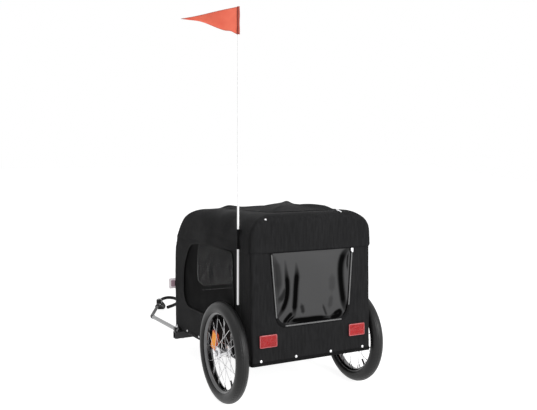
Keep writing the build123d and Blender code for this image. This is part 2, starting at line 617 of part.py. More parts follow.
def make_reflectors():
    """Red reflectors on the rear wall; white ones on pads at the front wall's outer corners."""
    parts = {}
    rear_z, front_z = HEM_Z + REAR_REFLECTOR_H, HEM_Z + FRONT_REFLECTOR_H
    half_w, half_h = REFLECTOR_W / 2, REFLECTOR_H / 2
    front_x = CABIN_HALF_W + FRONT_REFLECTOR_OUT - half_w
    face_y = CABIN_FRONT - REFLECTOR_PAD_T
    for name, sign in (("left", 1), ("right", -1)):
        x = sign * REAR_REFLECTOR_X
        parts[f"reflector_rear_{name}"] = block(
            x - half_w, x + half_w, CABIN_REAR, CABIN_REAR + REFLECTOR_T, rear_z - half_h, rear_z + half_h
        )
        x = sign * front_x
        lens = block(x - half_w, x + half_w, face_y - REFLECTOR_T, face_y, front_z - half_h, front_z + half_h)
        x0, x1 = sorted((sign * (front_x - half_w / 2), sign * (CABIN_HALF_W - WALL_T)))
        pad = block(x0, x1, face_y, CABIN_FRONT, front_z - half_h / 2, front_z + half_h / 2)
        parts[f"reflector_front_{name}"] = lens + pad
    return parts


def park_tilt(piece):
    """Let the nose down about the wheel axis."""
    return Pos(0, 0, WHEEL_R) * Rot(X=PARK_TILT) * Pos(0, 0, -WHEEL_R) * piece


def place_in_frame(pieces):
    """Tilt every piece, then stand the whole on Z = 0 with the origin under its middle."""
    tilted = {name: park_tilt(piece) for name, piece in pieces.items()}
    boxes = [piece.bounding_box() for piece in tilted.values()]
    mid_x = (min(b.min.X for b in boxes) + max(b.max.X for b in boxes)) / 2
    mid_y = (min(b.min.Y for b in boxes) + max(b.max.Y for b in boxes)) / 2
    low = min(b.min.Z for b in boxes)
    return {name: Pos(-mid_x, -mid_y, -low) * piece for name, piece in tilted.items()}


def make_strap(keeper):
    """Safety strap from the keeper's lug along the floor, as a tube as wide as the webbing."""
    turn = radians(HITCH_TURN)
    along_arm = Axis((0, 0, 0), (-sin(turn), -cos(turn), 0))
    lug_end = keeper.faces().filter_by(GeomType.PLANE).sort_by(along_arm)[-1]
    points = [lug_end.center(), lug_end.center() + lug_end.normal_at() * 3 * STRAP_R]
    points += [Vector(*point) for point in STRAP_FALL]
    floor = STRAP_R + STRAP_CLEAR
    points += [Vector(x, y, floor) for x, y in STRAP_ROUTE]
    radii = []
    for before, here, after in zip(points, points[1:], points[2:]):
        turn = radians((here - before).get_angle(after - here))
        shorter = min((here - before).length, (after - here).length)
        radii.append(0.45 * shorter / tan(turn / 2))
    return bent_tube(points, radii, STRAP_R)


pieces = {}
for group in (
    make_cover(), make_base(), make_frame(), make_wheel(1), make_wheel(-1),
    make_tow_arm(), make_flag(), make_reflectors(),
):
    pieces.update(group)
pieces = place_in_frame(pieces)
pieces["safety_strap"] = make_strap(pieces["strap_keeper"])

os.makedirs("parts", exist_ok=True)
for name, piece in pieces.items():
    export_step(piece, f"parts/{name}.step")
print(f"{len(pieces)} pieces, park tilt {PARK_TILT:.3f} degrees")
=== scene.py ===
import bpy
import json
import math
import numpy as np
from mathutils import Matrix, Vector


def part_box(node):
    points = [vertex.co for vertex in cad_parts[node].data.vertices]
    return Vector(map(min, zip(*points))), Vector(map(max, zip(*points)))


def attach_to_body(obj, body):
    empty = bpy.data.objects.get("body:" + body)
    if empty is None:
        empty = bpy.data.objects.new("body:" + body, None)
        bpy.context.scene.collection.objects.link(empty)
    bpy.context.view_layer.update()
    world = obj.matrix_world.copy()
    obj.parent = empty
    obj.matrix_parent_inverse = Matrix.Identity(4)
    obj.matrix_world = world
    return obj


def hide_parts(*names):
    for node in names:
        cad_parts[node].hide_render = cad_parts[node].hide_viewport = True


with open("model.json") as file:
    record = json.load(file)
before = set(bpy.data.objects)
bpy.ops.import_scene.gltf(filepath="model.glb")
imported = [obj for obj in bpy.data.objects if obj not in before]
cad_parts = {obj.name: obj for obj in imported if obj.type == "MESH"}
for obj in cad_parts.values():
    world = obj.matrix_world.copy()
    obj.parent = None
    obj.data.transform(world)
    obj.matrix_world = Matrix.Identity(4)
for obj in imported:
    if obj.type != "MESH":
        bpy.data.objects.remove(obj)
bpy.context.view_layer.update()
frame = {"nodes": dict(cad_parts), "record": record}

# ---------------------------------------------------------------------------
# The parked trailer: its nose is let down about the wheel axle until the hitch stands on the
# floor. Pieces are worked out with the trailer level, x to its left, y to its rear from the
# axle and z up from the floor, in metres, and are then set down in this place.
hitch_axis = [j for j in frame["record"]["behaviour"]["joints"] if j["name"] == "coupler_yaw"][0]["axis"]
PARK_TILT = math.atan2(-hitch_axis[1], hitch_axis[2])
left_low, left_high = (np.array(corner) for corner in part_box("tyre_left"))
right_low, right_high = (np.array(corner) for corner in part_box("tyre_right"))
WHEEL_R = (left_high[2] - left_low[2]) / 2
AXLE = (left_low + left_high + right_low + right_high) / 4
WHEEL_X = (left_low[0] + left_high[0] - right_low[0] - right_high[0]) / 4


def parked(points):
    """Level points turned nose down about the axle by the tilt and moved to the parked axle."""
    points = np.asarray(points, float) - (0, 0, WHEEL_R)
    c, s = math.cos(PARK_TILT), math.sin(PARK_TILT)
    x, y, z = np.moveaxis(points, -1, 0)
    return np.stack([x, c * y - s * z, s * y + c * z], axis=-1) + AXLE


def smooth_mesh(name, points, faces, material, uv=None, sharp=False):
    """New object from level points and faces, its place in its mesh, with one material."""
    mesh = bpy.data.meshes.new(name)
    place = parked(points)
    faces = np.asarray(faces, np.int32)
    mesh.vertices.add(len(place))
    mesh.vertices.foreach_set("co", place.astype(np.float32).ravel())
    mesh.loops.add(faces.size)
    mesh.loops.foreach_set("vertex_index", faces.ravel())
    mesh.polygons.add(len(faces))
    mesh.polygons.foreach_set("loop_start", np.arange(len(faces), dtype=np.int32) * faces.shape[1])
    mesh.update(calc_edges=True)
    mesh.polygons.foreach_set("use_smooth", np.full(len(faces), not sharp))
    if uv is not None:
        layer = mesh.uv_layers.new(name="surface")
        layer.data.foreach_set("uv", np.asarray(uv, np.float32)[faces.ravel()].ravel())
    mesh.validate()
    mesh.materials.append(material)
    piece = bpy.data.objects.new(name, mesh)
    bpy.context.collection.objects.link(piece)
    return piece


def grid_faces(rows, columns, round_rows=False, round_columns=False, flip=False):
    """Four-cornered faces of a grid of points, closed round on itself where it is asked to be."""
    i = np.arange(rows if round_rows else rows - 1)[:, None]
    j = np.arange(columns if round_columns else columns - 1)[None, :]
    next_i, next_j = (i + 1) % rows, (j + 1) % columns
    corners = [i * columns + j, i * columns + next_j, next_i * columns + next_j, next_i * columns + j]
    faces = np.stack([np.broadcast_to(c, (i.size, j.size)) for c in corners], axis=-1).reshape(-1, 4)
    return faces[:, ::-1] if flip else faces


def surface(name, points, material, uv=None, **closed):
    """Smooth piece from a grid of level points, rows by columns by three."""
    rows, columns = points.shape[:2]
    flat_uv = None if uv is None else np.asarray(uv).reshape(-1, 2)
    return smooth_mesh(name, points.reshape(-1, 3), grid_faces(rows, columns, **closed), material, flat_uv)


def xyz(x, y, z):
    """Points from their three coordinates, each spread over the others' grid."""
    return np.stack(np.broadcast_arrays(x, y, z), axis=-1)


# ---------------------------------------------------------------------------
# Camera: a portrait lens behind the trailer's left rear corner, tipped a little because the
# parked trailer leans forward while its own top and base run level in the frame.
CAMERA_PLACE = (1.3745, 2.9938, 1.1993)
CAMERA_AIM = (-0.0960, 0.2567, 0.7326)
CAMERA_ROLL = 2.47
CAMERA_LENS = 47.65
lens = bpy.data.cameras.new("camera")
lens.lens = CAMERA_LENS
lens.sensor_width = 36.0
lens.clip_end = 60.0
camera = bpy.data.objects.new("camera", lens)
bpy.context.collection.objects.link(camera)
look = (Vector(CAMERA_AIM) - Vector(CAMERA_PLACE)).to_track_quat("-Z", "Y").to_matrix().to_4x4()
roll = Matrix.Rotation(math.radians(CAMERA_ROLL), 4, "Z")
camera.matrix_world = Matrix.Translation(CAMERA_PLACE) @ look @ roll
bpy.context.scene.camera = camera
bpy.context.scene.view_settings.view_transform = "Standard"

# ---------------------------------------------------------------------------
# Studio: a white surround, a pale floor that keeps the trailer's shadow, a broad soft lamp
# behind the trailer on its right, a weaker one on its left and one overhead.
SURROUND_LIGHT = 0.25
FLOOR_SIZE = 16.0
FLOOR_GLOW = 0.90
FLOOR_PALE = (0.62, 0.62, 0.62)


def feed(tree, socket, value):
    """Links a node's output to a socket, or sets a plain number or colour on the socket itself."""
    if isinstance(value, bpy.types.NodeSocket):
        tree.links.new(value, socket)
    else:
        socket.default_value = value


def new_node(tree, kind, feeds=None, **settings):
    """Shader node of a kind with its settings; feeds gives each socket's name or number its value."""
    node = tree.nodes.new(f"ShaderNode{kind}")
    for name, value in settings.items():
        setattr(node, name, value)
    for socket, value in (feeds or {}).items():
        feed(tree, node.inputs[socket], value)
    return node


def math_node(tree, operation, *values):
    """Result of a sum, product or comparison of values."""
    return new_node(tree, "Math", dict(enumerate(values)), operation=operation).outputs[0]


def new_material(name, space="Object"):
    """Empty node material, its node tree and the object's coordinates, or those of its UV map."""
    material = bpy.data.materials.new(name)
    material.use_nodes = True
    tree = material.node_tree
    tree.nodes.clear()
    return material, tree, new_node(tree, "TexCoord").outputs[space]


def principled(tree, **values):
    """Principled shader on the material's output, its sockets named in small letters."""
    shader = new_node(tree, "BsdfPrincipled")
    sockets = {socket.name.lower().replace(" ", "_"): socket for socket in shader.inputs}
    for name, value in values.items():
        feed(tree, sockets[name], value)
    new_node(tree, "OutputMaterial", {"Surface": shader.outputs[0]})


def seen_directly(tree):
    """One where the camera, a mirror-like surface or glass looks straight at it, else nothing."""
    path = new_node(tree, "LightPath").outputs
    camera_or_gloss = math_node(tree, "MAXIMUM", path["Is Camera Ray"], path["Is Glossy Ray"])
    return math_node(tree, "MAXIMUM", camera_or_gloss, path["Is Transmission Ray"])


world = bpy.data.worlds.new("surround")
bpy.context.scene.world = world
world.use_nodes = True
tree = world.node_tree
tree.nodes.clear()
feeds = {"Value": seen_directly(tree), "To Min": SURROUND_LIGHT, "To Max": 1.0}
strength = new_node(tree, "MapRange", feeds)
sky = new_node(tree, "Background", {"Color": (1, 1, 1, 1), "Strength": strength.outputs[0]})
new_node(tree, "OutputWorld", {"Surface": sky.outputs[0]})

floor_material, tree, coords = new_material("pale_floor")
principled(
    tree,
    base_color=(*FLOOR_PALE, 1),
    roughness=0.9,
    specular_ior_level=0.1,
    emission_color=(1, 1, 1, 1),
    emission_strength=math_node(tree, "MULTIPLY", seen_directly(tree), FLOOR_GLOW),
)
half = FLOOR_SIZE / 2
floor_mesh = bpy.data.meshes.new("floor")
corners = [(-half, -half, 0), (half, -half, 0), (half, half, 0), (-half, half, 0)]
floor_mesh.from_pydata(corners, [], [(0, 1, 2, 3)])
floor_mesh.materials.append(floor_material)
floor = bpy.data.objects.new("floor", floor_mesh)
bpy.context.collection.objects.link(floor)


def soft_lamp(name, place, aim, size, watts):
    """Square lamp facing a point."""
    light = bpy.data.lights.new(name, "AREA")
    light.size = size
    light.energy = watts
    lamp = bpy.data.objects.new(name, light)
    bpy.context.collection.objects.link(lamp)
    turn = (Vector(aim) - Vector(place)).to_track_quat("-Z", "Y").to_matrix().to_4x4()
    lamp.matrix_world = Matrix.Translation(place) @ turn


soft_lamp("rear_lamp", (-1.6, 4.6, 2.4), (0, 0.4, 0.45), 2.4, 162)
soft_lamp("left_lamp", (4.2, 0.6, 2.0), (0, 0.2, 0.4), 2.6, 10)
soft_lamp("top_lamp", (0.4, 0.2, 4.4), (0, 0.2, 0), 3.0, 28)

# ---------------------------------------------------------------------------
# Cabin cover, lower part: black coated cloth over the tube frame, sewn from four wall panels
# that meet at the corner posts, with cut-outs for the doors and the side windows.
CABIN_HALF_W = 0.272
CABIN_REAR = 0.178
CABIN_FRONT = -0.635
CABIN_MID = (CABIN_REAR + CABIN_FRONT) / 2
HEM_Z = WHEEL_R - 0.025
ROOF_Z = HEM_Z + 0.5725
SEAM_Z = HEM_Z + 0.429
SEAM_LAP = 0.018
COVER_T = 0.003
FRONT_KNEE_Z = HEM_Z + 0.275
FRONT_LEAN = 0.117
FRONT_TOP_R = 0.270
REAR_TOP_R = 0.038
SHOULDER_R = (0.046, 0.097)
POST_R = 0.010
SEWN_R = 0.0001
SLACK_WAVES = 8
RAY_REACH = 3.0
OUTLINE_REACH = 2.0
WALL_CLOTH_T = 0.0016
WALL_ROWS = 30


def unit(ways):
    """Directions cut to a length of one."""
    ways = np.asarray(ways, float)
    return ways / np.linalg.norm(ways, axis=-1, keepdims=True)


def rounded_corner(a, b, radius, across=0.0):
    """Distance outside two faces that meet in a round corner: the distance from the arc's middle
    less its radius where the arc is nearest, else the greater of the two faces' distances.
    across is the cosine between the faces' normals."""
    u, v = a + radius, b + radius
    reach = np.sqrt(np.maximum(u * u + v * v - 2 * across * u * v, 0) / (1 - across**2))
    on_arc = (u > across * v) & (v > across * u)
    return np.where(on_arc, reach - radius, np.maximum(a, b))


def cabin_distance(points):
    """How far level points stand outside the cabin's shape: the greatest of its side profile's,
    its shoulders' and its four corner posts' distances."""
    x, y, z = np.moveaxis(points, -1, 0)
    slope = math.hypot(1, FRONT_LEAN)
    top, rear, side = z - ROOF_Z, y - CABIN_REAR, np.abs(x) - CABIN_HALF_W
    front_low = CABIN_FRONT - y
    front_high = (front_low + FRONT_LEAN * (z - FRONT_KNEE_Z)) / slope
    shoulder = np.interp(y, (CABIN_FRONT, CABIN_REAR), SHOULDER_R)
    return np.maximum.reduce([
        rounded_corner(front_high, top, FRONT_TOP_R, FRONT_LEAN / slope),
        rounded_corner(rear, top, REAR_TOP_R),
        rounded_corner(side, top, shoulder),
        rounded_corner(side, rear, POST_R),
        rounded_corner(side, np.maximum(front_low, front_high), POST_R),
    ])


def onto_cabin(points, lift, core_z=None):
    """Points pushed along rays from the cabin's middle until they stand lift outside its shape,
    found by halving. Without core_z the rays run level, each at its own height."""
    core = np.zeros_like(points)
    core[..., 1] = CABIN_MID
    core[..., 2] = points[..., 2] if core_z is None else core_z
    rays = points - core
    near, far = np.zeros(points.shape[:-1]), np.full(points.shape[:-1], RAY_REACH)
    for _ in range(24):
        middle = (near + far) / 2
        outside = cabin_distance(core + rays * middle[..., None]) > lift
        near, far = np.where(outside, near, middle), np.where(outside, middle, far)
    return core + rays * near[..., None]


def outline_at(angles, sides, radius, centre):
    """Points of a convex outline seen from its centre at given angles. sides are (u, v, distance
    from the centre) of each straight side's outward direction; corners have the radius."""
    normals = unit([side[:2] for side in sides])
    offsets = np.array([side[2] for side in sides], float)
    ways = np.stack([np.cos(angles), np.sin(angles)], axis=-1)
    near, far = np.zeros(len(angles)), np.full(len(angles), OUTLINE_REACH)
    for _ in range(30):
        middle = (near + far) / 2
        depth = np.maximum((ways * middle[:, None]) @ normals.T - offsets + radius, 0)
        outside = np.sqrt((depth**2).sum(axis=1)) > radius
        near, far = np.where(outside, near, middle), np.where(outside, middle, far)
    return np.asarray(centre) + ways * near[:, None]


def sides_of(corners, centre):
    """Outward direction and distance from the centre of each side of a closed run of corners
    that turns to the left."""
    corners = np.asarray(corners, float) - centre
    along = np.roll(corners, -1, axis=0) - corners
    outward = unit(np.stack([along[:, 1], -along[:, 0]], axis=-1))
    return np.column_stack([outward, (outward * corners).sum(axis=1)])


def ripples(points, seed, size, amount):
    """Slack in the cloth: a sum of eight shallow waves of about one size, in directions, phases
    and lengths drawn from a seed."""
    draw = np.random.default_rng(seed)
    ways = unit(draw.normal(size=(SLACK_WAVES, 3)))
    lengths = size * draw.uniform(0.6, 1.6, SLACK_WAVES)
    phases = draw.uniform(0, 2 * math.pi, SLACK_WAVES)
    waves = np.sin(points @ (2 * math.pi * ways / lengths[:, None]).T + phases)
    return amount * waves.sum(axis=-1) / SLACK_WAVES


def fold(points, start, end, width, height):
    """One crease: a ridge of bell-shaped section along the run from start to end, fading out
    toward both of its ends."""
    start, end = np.asarray(start, float), np.asarray(end, float)
    run = end - start
    length = np.linalg.norm(run)
    along = (points - start) @ run / length**2
    off = points - start - np.clip(along, 0, 1)[..., None] * run
    fade = np.sin(math.pi * np.clip(along, 0, 1)) ** 0.7
    return height * fade * np.exp(-(np.linalg.norm(off, axis=-1) / width) ** 2)


def folded(points, lift, creases):
    """A lift with creases added to it, each a start, an end, a width and a height."""
    for start, end, width, height in creases:
        lift = lift + fold(points, start, end, width, height)
    return lift


def noise_node(tree, coords, scale, detail=2.0, stretch=(1, 1, 1)):
    """Value of cloudy noise on given coordinates, drawn out by a stretch along each axis."""
    drawn = new_node(tree, "Mapping", {"Vector": coords, "Scale": stretch}).outputs[0]
    return new_node(tree, "TexNoise", {"Vector": drawn, "Scale": scale, "Detail": detail}).outputs["Fac"]


def wave_node(tree, coords, scale, direction, **feeds):
    """Value of even bands across one direction of the coordinates."""
    feeds = {"Vector": coords, "Scale": scale, **feeds}
    return new_node(tree, "TexWave", feeds, bands_direction=direction).outputs["Fac"]


def map_value(tree, value, from_low, from_high, to_low, to_high):
    """A value carried from one range to another, held at the ends."""
    feeds = {"Value": value, "From Min": from_low, "From Max": from_high}
    return new_node(tree, "MapRange", {**feeds, "To Min": to_low, "To Max": to_high}).outputs[0]


def tint(tree, value, dark, light):
    """Colour between a dark and a light one, by a value from nothing to one."""
    feeds = {"Factor": value, "A": dark, "B": light}
    return new_node(tree, "Mix", feeds, data_type="RGBA").outputs["Result"]


def bump(tree, height, distance, strength=1.0, under=None):
    """Normal of a surface raised by a height, over another normal where one is given."""
    feeds = {"Height": height, "Distance": distance, "Strength": strength}
    if under is not None:
        feeds["Normal"] = under
    return new_node(tree, "Bump", feeds).outputs["Normal"]


def make_weave_group():
    """Node group: a weave of crossing threads of a given fineness along each of the object's
    axes; gives the threads' height and a slow change of shade."""
    group = bpy.data.node_groups.new("plain_weave", "ShaderNodeTree")
    group.interface.new_socket("Threads", in_out="INPUT", socket_type="NodeSocketFloat").default_value = 900
    group.interface.new_socket("Height", in_out="OUTPUT", socket_type="NodeSocketFloat")
    group.interface.new_socket("Shade", in_out="OUTPUT", socket_type="NodeSocketFloat")
    threads = group.nodes.new("NodeGroupInput").outputs["Threads"]
    coords = new_node(group, "TexCoord").outputs["Object"]
    waves = [wave_node(group, coords, threads, way, Distortion=0.4, Detail=0.0) for way in "XYZ"]
    total = math_node(group, "ADD", math_node(group, "ADD", waves[0], waves[1]), waves[2])
    streaks = noise_node(group, coords, 130, 3, (1, 1, 0.08))
    leave = group.nodes.new("NodeGroupOutput")
    feed(group, leave.inputs["Height"], map_value(group, total, 0, 3, 0, 1))
    feed(group, leave.inputs["Shade"], map_value(group, streaks, 0.3, 0.7, 0, 1))
    return group


weave_group = make_weave_group()


def woven(tree, threads):
    """The weave's outputs in a material, at its own fineness of thread."""
    weave = new_node(tree, "Group", node_tree=weave_group)
    weave.inputs["Threads"].default_value = threads
    return weave.outputs


def cloth_material(name, dark, light, roughness, threads=260):
    """Coated woven cloth: streaky black, a fine weave and a slow dusty sheen."""
    material, tree, coords = new_material(name)
    weave = woven(tree, threads)
    dust = noise_node(tree, coords, 7, 4)
    slack = bump(tree, dust, 0.004, 0.4)
    principled(
        tree,
        base_color=tint(tree, weave["Shade"], dark, light),
        roughness=map_value(tree, dust, 0.3, 0.7, roughness - 0.06, roughness + 0.08),
        normal=bump(tree, weave["Height"], 0.0006, 0.5, slack),
        specular_ior_level=0.05,
        sheen_weight=0.03,
        sheen_roughness=0.4,
    )
    return material


COVER_BLACK = ((0.0150, 0.0150, 0.0156, 1), (0.0235, 0.0235, 0.0245, 1))
BAND_BLACK = ((0.0090, 0.0090, 0.0094, 1), (0.0130, 0.0130, 0.0136, 1))
cover_cloth = cloth_material("cover_cloth", *COVER_BLACK, 0.72)
band_cloth = cloth_material("band_cloth", *BAND_BLACK, 0.66, 420)


def front_line(z):
    """Where the front wall stands at a height: upright up to its knee, then leaning back."""
    return CABIN_FRONT + FRONT_LEAN * np.maximum(z - FRONT_KNEE_Z, 0)


def ring_between(outer, inner, steps):
    """Grid of even rows from an outer closed line to an inner one."""
    t = np.linspace(0, 1, steps)[:, None, None]
    return outer[None] * (1 - t) + inner[None] * t


def thicken(piece, thickness):
    """Gives a sheet its thickness, to its inner side."""
    wall = piece.modifiers.new("thickness", "SOLIDIFY")
    wall.thickness = thickness
    wall.offset = -1.0
    wall.use_rim = True


def attach(piece, body, slot, *stands_for):
    """Says which body a piece rides on and hides the CAD nodes it stands for; slot is not used."""
    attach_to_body(piece, body)
    if stands_for:
        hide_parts(*stands_for)


WALL_TOP = SEAM_Z + SEAM_LAP
RING_STEPS = 420
angles = np.linspace(0, 2 * math.pi, RING_STEPS, endpoint=False)
DOOR_GAP = 0.0004

REAR_DOOR_TOP = 0.189
REAR_DOOR_LOW = 0.166
REAR_DOOR_LOW_Z = HEM_Z + 0.137
REAR_DOOR_R = 0.044
DOOR_SLOPE = (REAR_DOOR_TOP - REAR_DOOR_LOW) / (SEAM_Z - REAR_DOOR_LOW_Z)
FRONT_DOOR_HALF = 0.171
FRONT_DOOR_LOW_Z = HEM_Z + 0.165
FRONT_DOOR_R = 0.056
DOOR_BAND = 0.016
SIDE_WINDOW = [
    (0.029, HEM_Z + 0.125), (0.021, HEM_Z + 0.417), (-0.330, HEM_Z + 0.433), (-0.430, HEM_Z + 0.411),
    (-0.504, HEM_Z + 0.305), (-0.512, HEM_Z + 0.170), (-0.467, HEM_Z + 0.125),
]
SIDE_WINDOW_R = 0.024
SIDE_WINDOW_MID = (-0.240, HEM_Z + 0.270)


def cut_level(line, centre, top):
    """Outline cut off level at its top: each point above it is drawn in along its ray from the
    centre, to leave two sharp upper corners."""
    reach = line - centre
    share = (top - centre[1]) / np.maximum(reach[:, 1], top - centre[1])
    return centre + reach * share[:, None]


def rear_door_line(grow=0.0, top_grow=0.0):
    """Outline of the rear window door in x and z, wider at its top, with round lower corners and
    sharp upper ones at the seam."""
    centre = (0.0, (REAR_DOOR_LOW_Z + SEAM_Z) / 2)
    corners = [
        (-REAR_DOOR_LOW, REAR_DOOR_LOW_Z), (REAR_DOOR_LOW, REAR_DOOR_LOW_Z),
        (REAR_DOOR_TOP, SEAM_Z), (-REAR_DOOR_TOP, SEAM_Z),
    ]
    sides = sides_of(corners, centre)
    sides[:, 2] += (grow, grow, 2 * REAR_DOOR_R, grow)
    return cut_level(outline_at(angles, sides, REAR_DOOR_R, centre), centre, SEAM_Z + top_grow)


def front_door_line(grow=0.0, top_grow=0.0):
    """Outline of the front door in x and z."""
    centre = (0.0, (FRONT_DOOR_LOW_Z + SEAM_Z) / 2)
    half_h = (SEAM_Z - FRONT_DOOR_LOW_Z) / 2
    half_w = FRONT_DOOR_HALF + grow
    sides = [(1, 0, half_w), (-1, 0, half_w), (0, 1, half_h + 2 * FRONT_DOOR_R), (0, -1, half_h + grow)]
    return cut_level(outline_at(angles, sides, FRONT_DOOR_R, centre), centre, SEAM_Z + top_grow)


def side_window_line(grow=0.0):
    """Outline of a side window in y and z."""
    sides = sides_of([(y, z) for y, z in SIDE_WINDOW], SIDE_WINDOW_MID)
    sides[:, 2] += grow
    return outline_at(angles, sides, SIDE_WINDOW_R, SIDE_WINDOW_MID)


def end_wall(line, y_of, slack):
    """Front or rear wall: a ring from the wall's four edges in to its door, on the cabin's shape
    and let in or out by the slack."""
    centre = (0.0, (line[:, 1].min() + line[:, 1].max()) / 2)
    up, down = WALL_TOP - centre[1], centre[1] - HEM_Z
    edges = [(1, 0, CABIN_HALF_W), (-1, 0, CABIN_HALF_W), (0, 1, up), (0, -1, down)]
    flat = ring_between(outline_at(angles, edges, SEWN_R, centre), line, WALL_ROWS)
    points = xyz(flat[..., 0], y_of(flat[..., 1]), flat[..., 1])
    return onto_cabin(points, slack(points))


def rear_slack(points):
    """The rear wall is drawn in below its window and swells a little beside it."""
    lift = ripples(points, 3, 0.16, 0.0024)
    for side in (1, -1):
        lift = folded(points, lift, [
            ((side * 0.250, CABIN_REAR, 0.30), (side * 0.158, CABIN_REAR, 0.345), 0.010, 0.0016),
            ((side * 0.262, CABIN_REAR, 0.26), (side * 0.120, CABIN_REAR, 0.285), 0.014, 0.0018),
        ])
    return lift - 0.0012


rear_points = end_wall(rear_door_line(DOOR_GAP), lambda z: np.full_like(z, CABIN_REAR), rear_slack)
front_points = end_wall(front_door_line(DOOR_GAP), front_line, lambda p: ripples(p, 5, 0.2, 0.002) - 0.001)
ends = (("rear", rear_points, "hoop_rear"), ("front", front_points, "base_cross_front"))
for name, points, rests_on in ends:
    wall = surface(f"cover_{name}", points, cover_cloth, round_columns=True, flip=name == "rear")
    thicken(wall, WALL_CLOTH_T)
    attach(wall, "frame", "cover_cloth", f"wall_{name}")
    size = (2 * CABIN_HALF_W, WALL_TOP - HEM_Z)


def side_wall(sign):
    """Side wall: a ring from the wall's edges, the front one following the front wall, in to its
    window; the cloth swells between the posts."""
    corners = [
        (CABIN_FRONT, HEM_Z), (CABIN_REAR, HEM_Z), (CABIN_REAR, WALL_TOP),
        (front_line(WALL_TOP), WALL_TOP), (CABIN_FRONT, FRONT_KNEE_Z),
    ]
    outer = outline_at(angles, sides_of(corners, SIDE_WINDOW_MID), SEWN_R, SIDE_WINDOW_MID)
    flat = ring_between(outer, side_window_line(), WALL_ROWS)
    x = sign * CABIN_HALF_W
    points = xyz(x, flat[..., 0], flat[..., 1])
    return onto_cabin(points, folded(points, ripples(points, 8 + sign, 0.18, 0.0026) - 0.0010, [
        ((x, 0.10, 0.22), (x, 0.10 - 0.02, 0.58), 0.010, 0.0014),
        ((x, -0.60, 0.22), (x, -0.60 - 0.02, 0.58), 0.010, 0.0014),
        ((x, 0.05, 0.29), (x, -0.5, 0.25), 0.012, 0.0016),
    ]))


SIDES = (("left", 1), ("right", -1))
for side, sign in SIDES:
    points = side_wall(sign)
    wall = surface(f"cover_{side}", points, cover_cloth, round_columns=True, flip=sign < 0)
    thicken(wall, WALL_CLOTH_T)
    attach(wall, "frame", "cover_cloth", f"wall_{side}")
    size = (CABIN_REAR - CABIN_FRONT, WALL_TOP - HEM_Z)

# ---------------------------------------------------------------------------
# Roof cover: one curved sheet from the seam over the walls up to the hatch. Its top and sides
# are sewn together along two long seams, and its lower edge is turned up and stitched.
SIDE_SEAM_X = CABIN_HALF_W - 0.088
HATCH_HALF_W = 0.160
HATCH_FRONT = -0.300
HATCH_REAR = 0.120
HATCH_R = 0.036
HATCH_MID = (HATCH_FRONT + HATCH_REAR) / 2
ROOF_CORE_Z = SEAM_Z - 0.04
ROOF_CLOTH_T = 0.0022
ROOF_ROWS = 84
FRONT_BOW_Y = -0.335


def hatch_line(grow=0.0):
    """Outline of the roof hatch in x and y."""
    half = (HATCH_REAR - HATCH_FRONT) / 2 + grow
    sides = [(1, 0, HATCH_HALF_W + grow), (-1, 0, HATCH_HALF_W + grow), (0, 1, half), (0, -1, half)]
    return outline_at(angles, sides, HATCH_R, (0.0, HATCH_MID))


def roof_slack(points):
    """Roof cloth: a slack ripple, a raised side seam, a roll over the front bow and creases that
    run from the corner posts."""
    x, y, z = np.moveaxis(points, -1, 0)
    lift = ripples(points, 21, 0.20, 0.0045) + ripples(points, 22, 0.07, 0.0016)
    seam = np.exp(-((np.abs(x) - SIDE_SEAM_X) / 0.004) ** 2) * (z > SEAM_Z + 0.03)
    bow = np.exp(-((y - FRONT_BOW_Y) / 0.020) ** 2) * (z > ROOF_Z - 0.03)
    puff = np.exp(-((x - 0.112) / 0.038) ** 2)
    lift = lift + 0.0016 * seam + bow * (0.004 * np.clip(1.3 - np.abs(x) / 0.16, 0, 1) + 0.0135 * puff)
    for side in (1, -1):
        lift = folded(points, lift, [
            ((side * CABIN_HALF_W, 0.12, 0.655), (side * CABIN_HALF_W, -0.36, 0.700), 0.012, 0.0040),
            ((side * CABIN_HALF_W, 0.04, 0.630), (side * CABIN_HALF_W, -0.46, 0.650), 0.010, 0.0030),
            ((side * 0.250, 0.17, 0.700), (side * 0.150, 0.178, 0.625), 0.012, 0.0030),
            ((side * CABIN_HALF_W, -0.50, 0.600), (side * 0.230, -0.30, 0.735), 0.014, 0.0035),
        ])
    return lift


def roof_points():
    """Ring from the cover's lower edge round the cabin up to the hatch; rays from inside the
    cabin set it on the cabin's shape, a cover's thickness outside the walls."""
    centre = (0.0, HATCH_MID)
    to_rear, to_front = CABIN_REAR - HATCH_MID, HATCH_MID - front_line(SEAM_Z)
    edges = [(1, 0, CABIN_HALF_W), (-1, 0, CABIN_HALF_W), (0, 1, to_rear), (0, -1, to_front)]
    outer, inner = outline_at(angles, edges, POST_R, centre), hatch_line(DOOR_GAP)
    low = xyz(outer[:, 0], outer[:, 1], SEAM_Z)
    top = xyz(inner[:, 0], inner[:, 1], ROOF_Z)
    points = ring_between(low, top, ROOF_ROWS)
    edge = np.linspace(0, 1, ROOF_ROWS)[:, None]
    hem = 0.0012 * np.exp(-(((edge - 0.03) / 0.022) ** 2))
    hatch_rim = 0.002 * np.exp(-(((1 - edge) / 0.05) ** 2))
    ends = np.clip(np.minimum(edge, 1 - edge) / 0.06, 0, 1)
    slack = roof_slack(onto_cabin(points, COVER_T, ROOF_CORE_Z))
    placed = onto_cabin(points, COVER_T + hem + hatch_rim + ends * slack, ROOF_CORE_Z)
    placed[0, :, 2] = SEAM_Z
    return placed


roof_sheet = roof_points()
for _ in range(3):
    beside = (np.roll(roof_sheet, 1, axis=1) + np.roll(roof_sheet, -1, axis=1)) / 2
    roof_sheet = (roof_sheet + beside) / 2
    roof_sheet[1:-1] = (2 * roof_sheet[1:-1] + roof_sheet[:-2] + roof_sheet[2:]) / 4
roof = surface("roof_cover", roof_sheet, cover_cloth, round_columns=True)
thicken(roof, ROOF_CLOTH_T)
attach(roof, "frame", "cover_cloth", "roof_top", "roof_side_left", "roof_side_right")

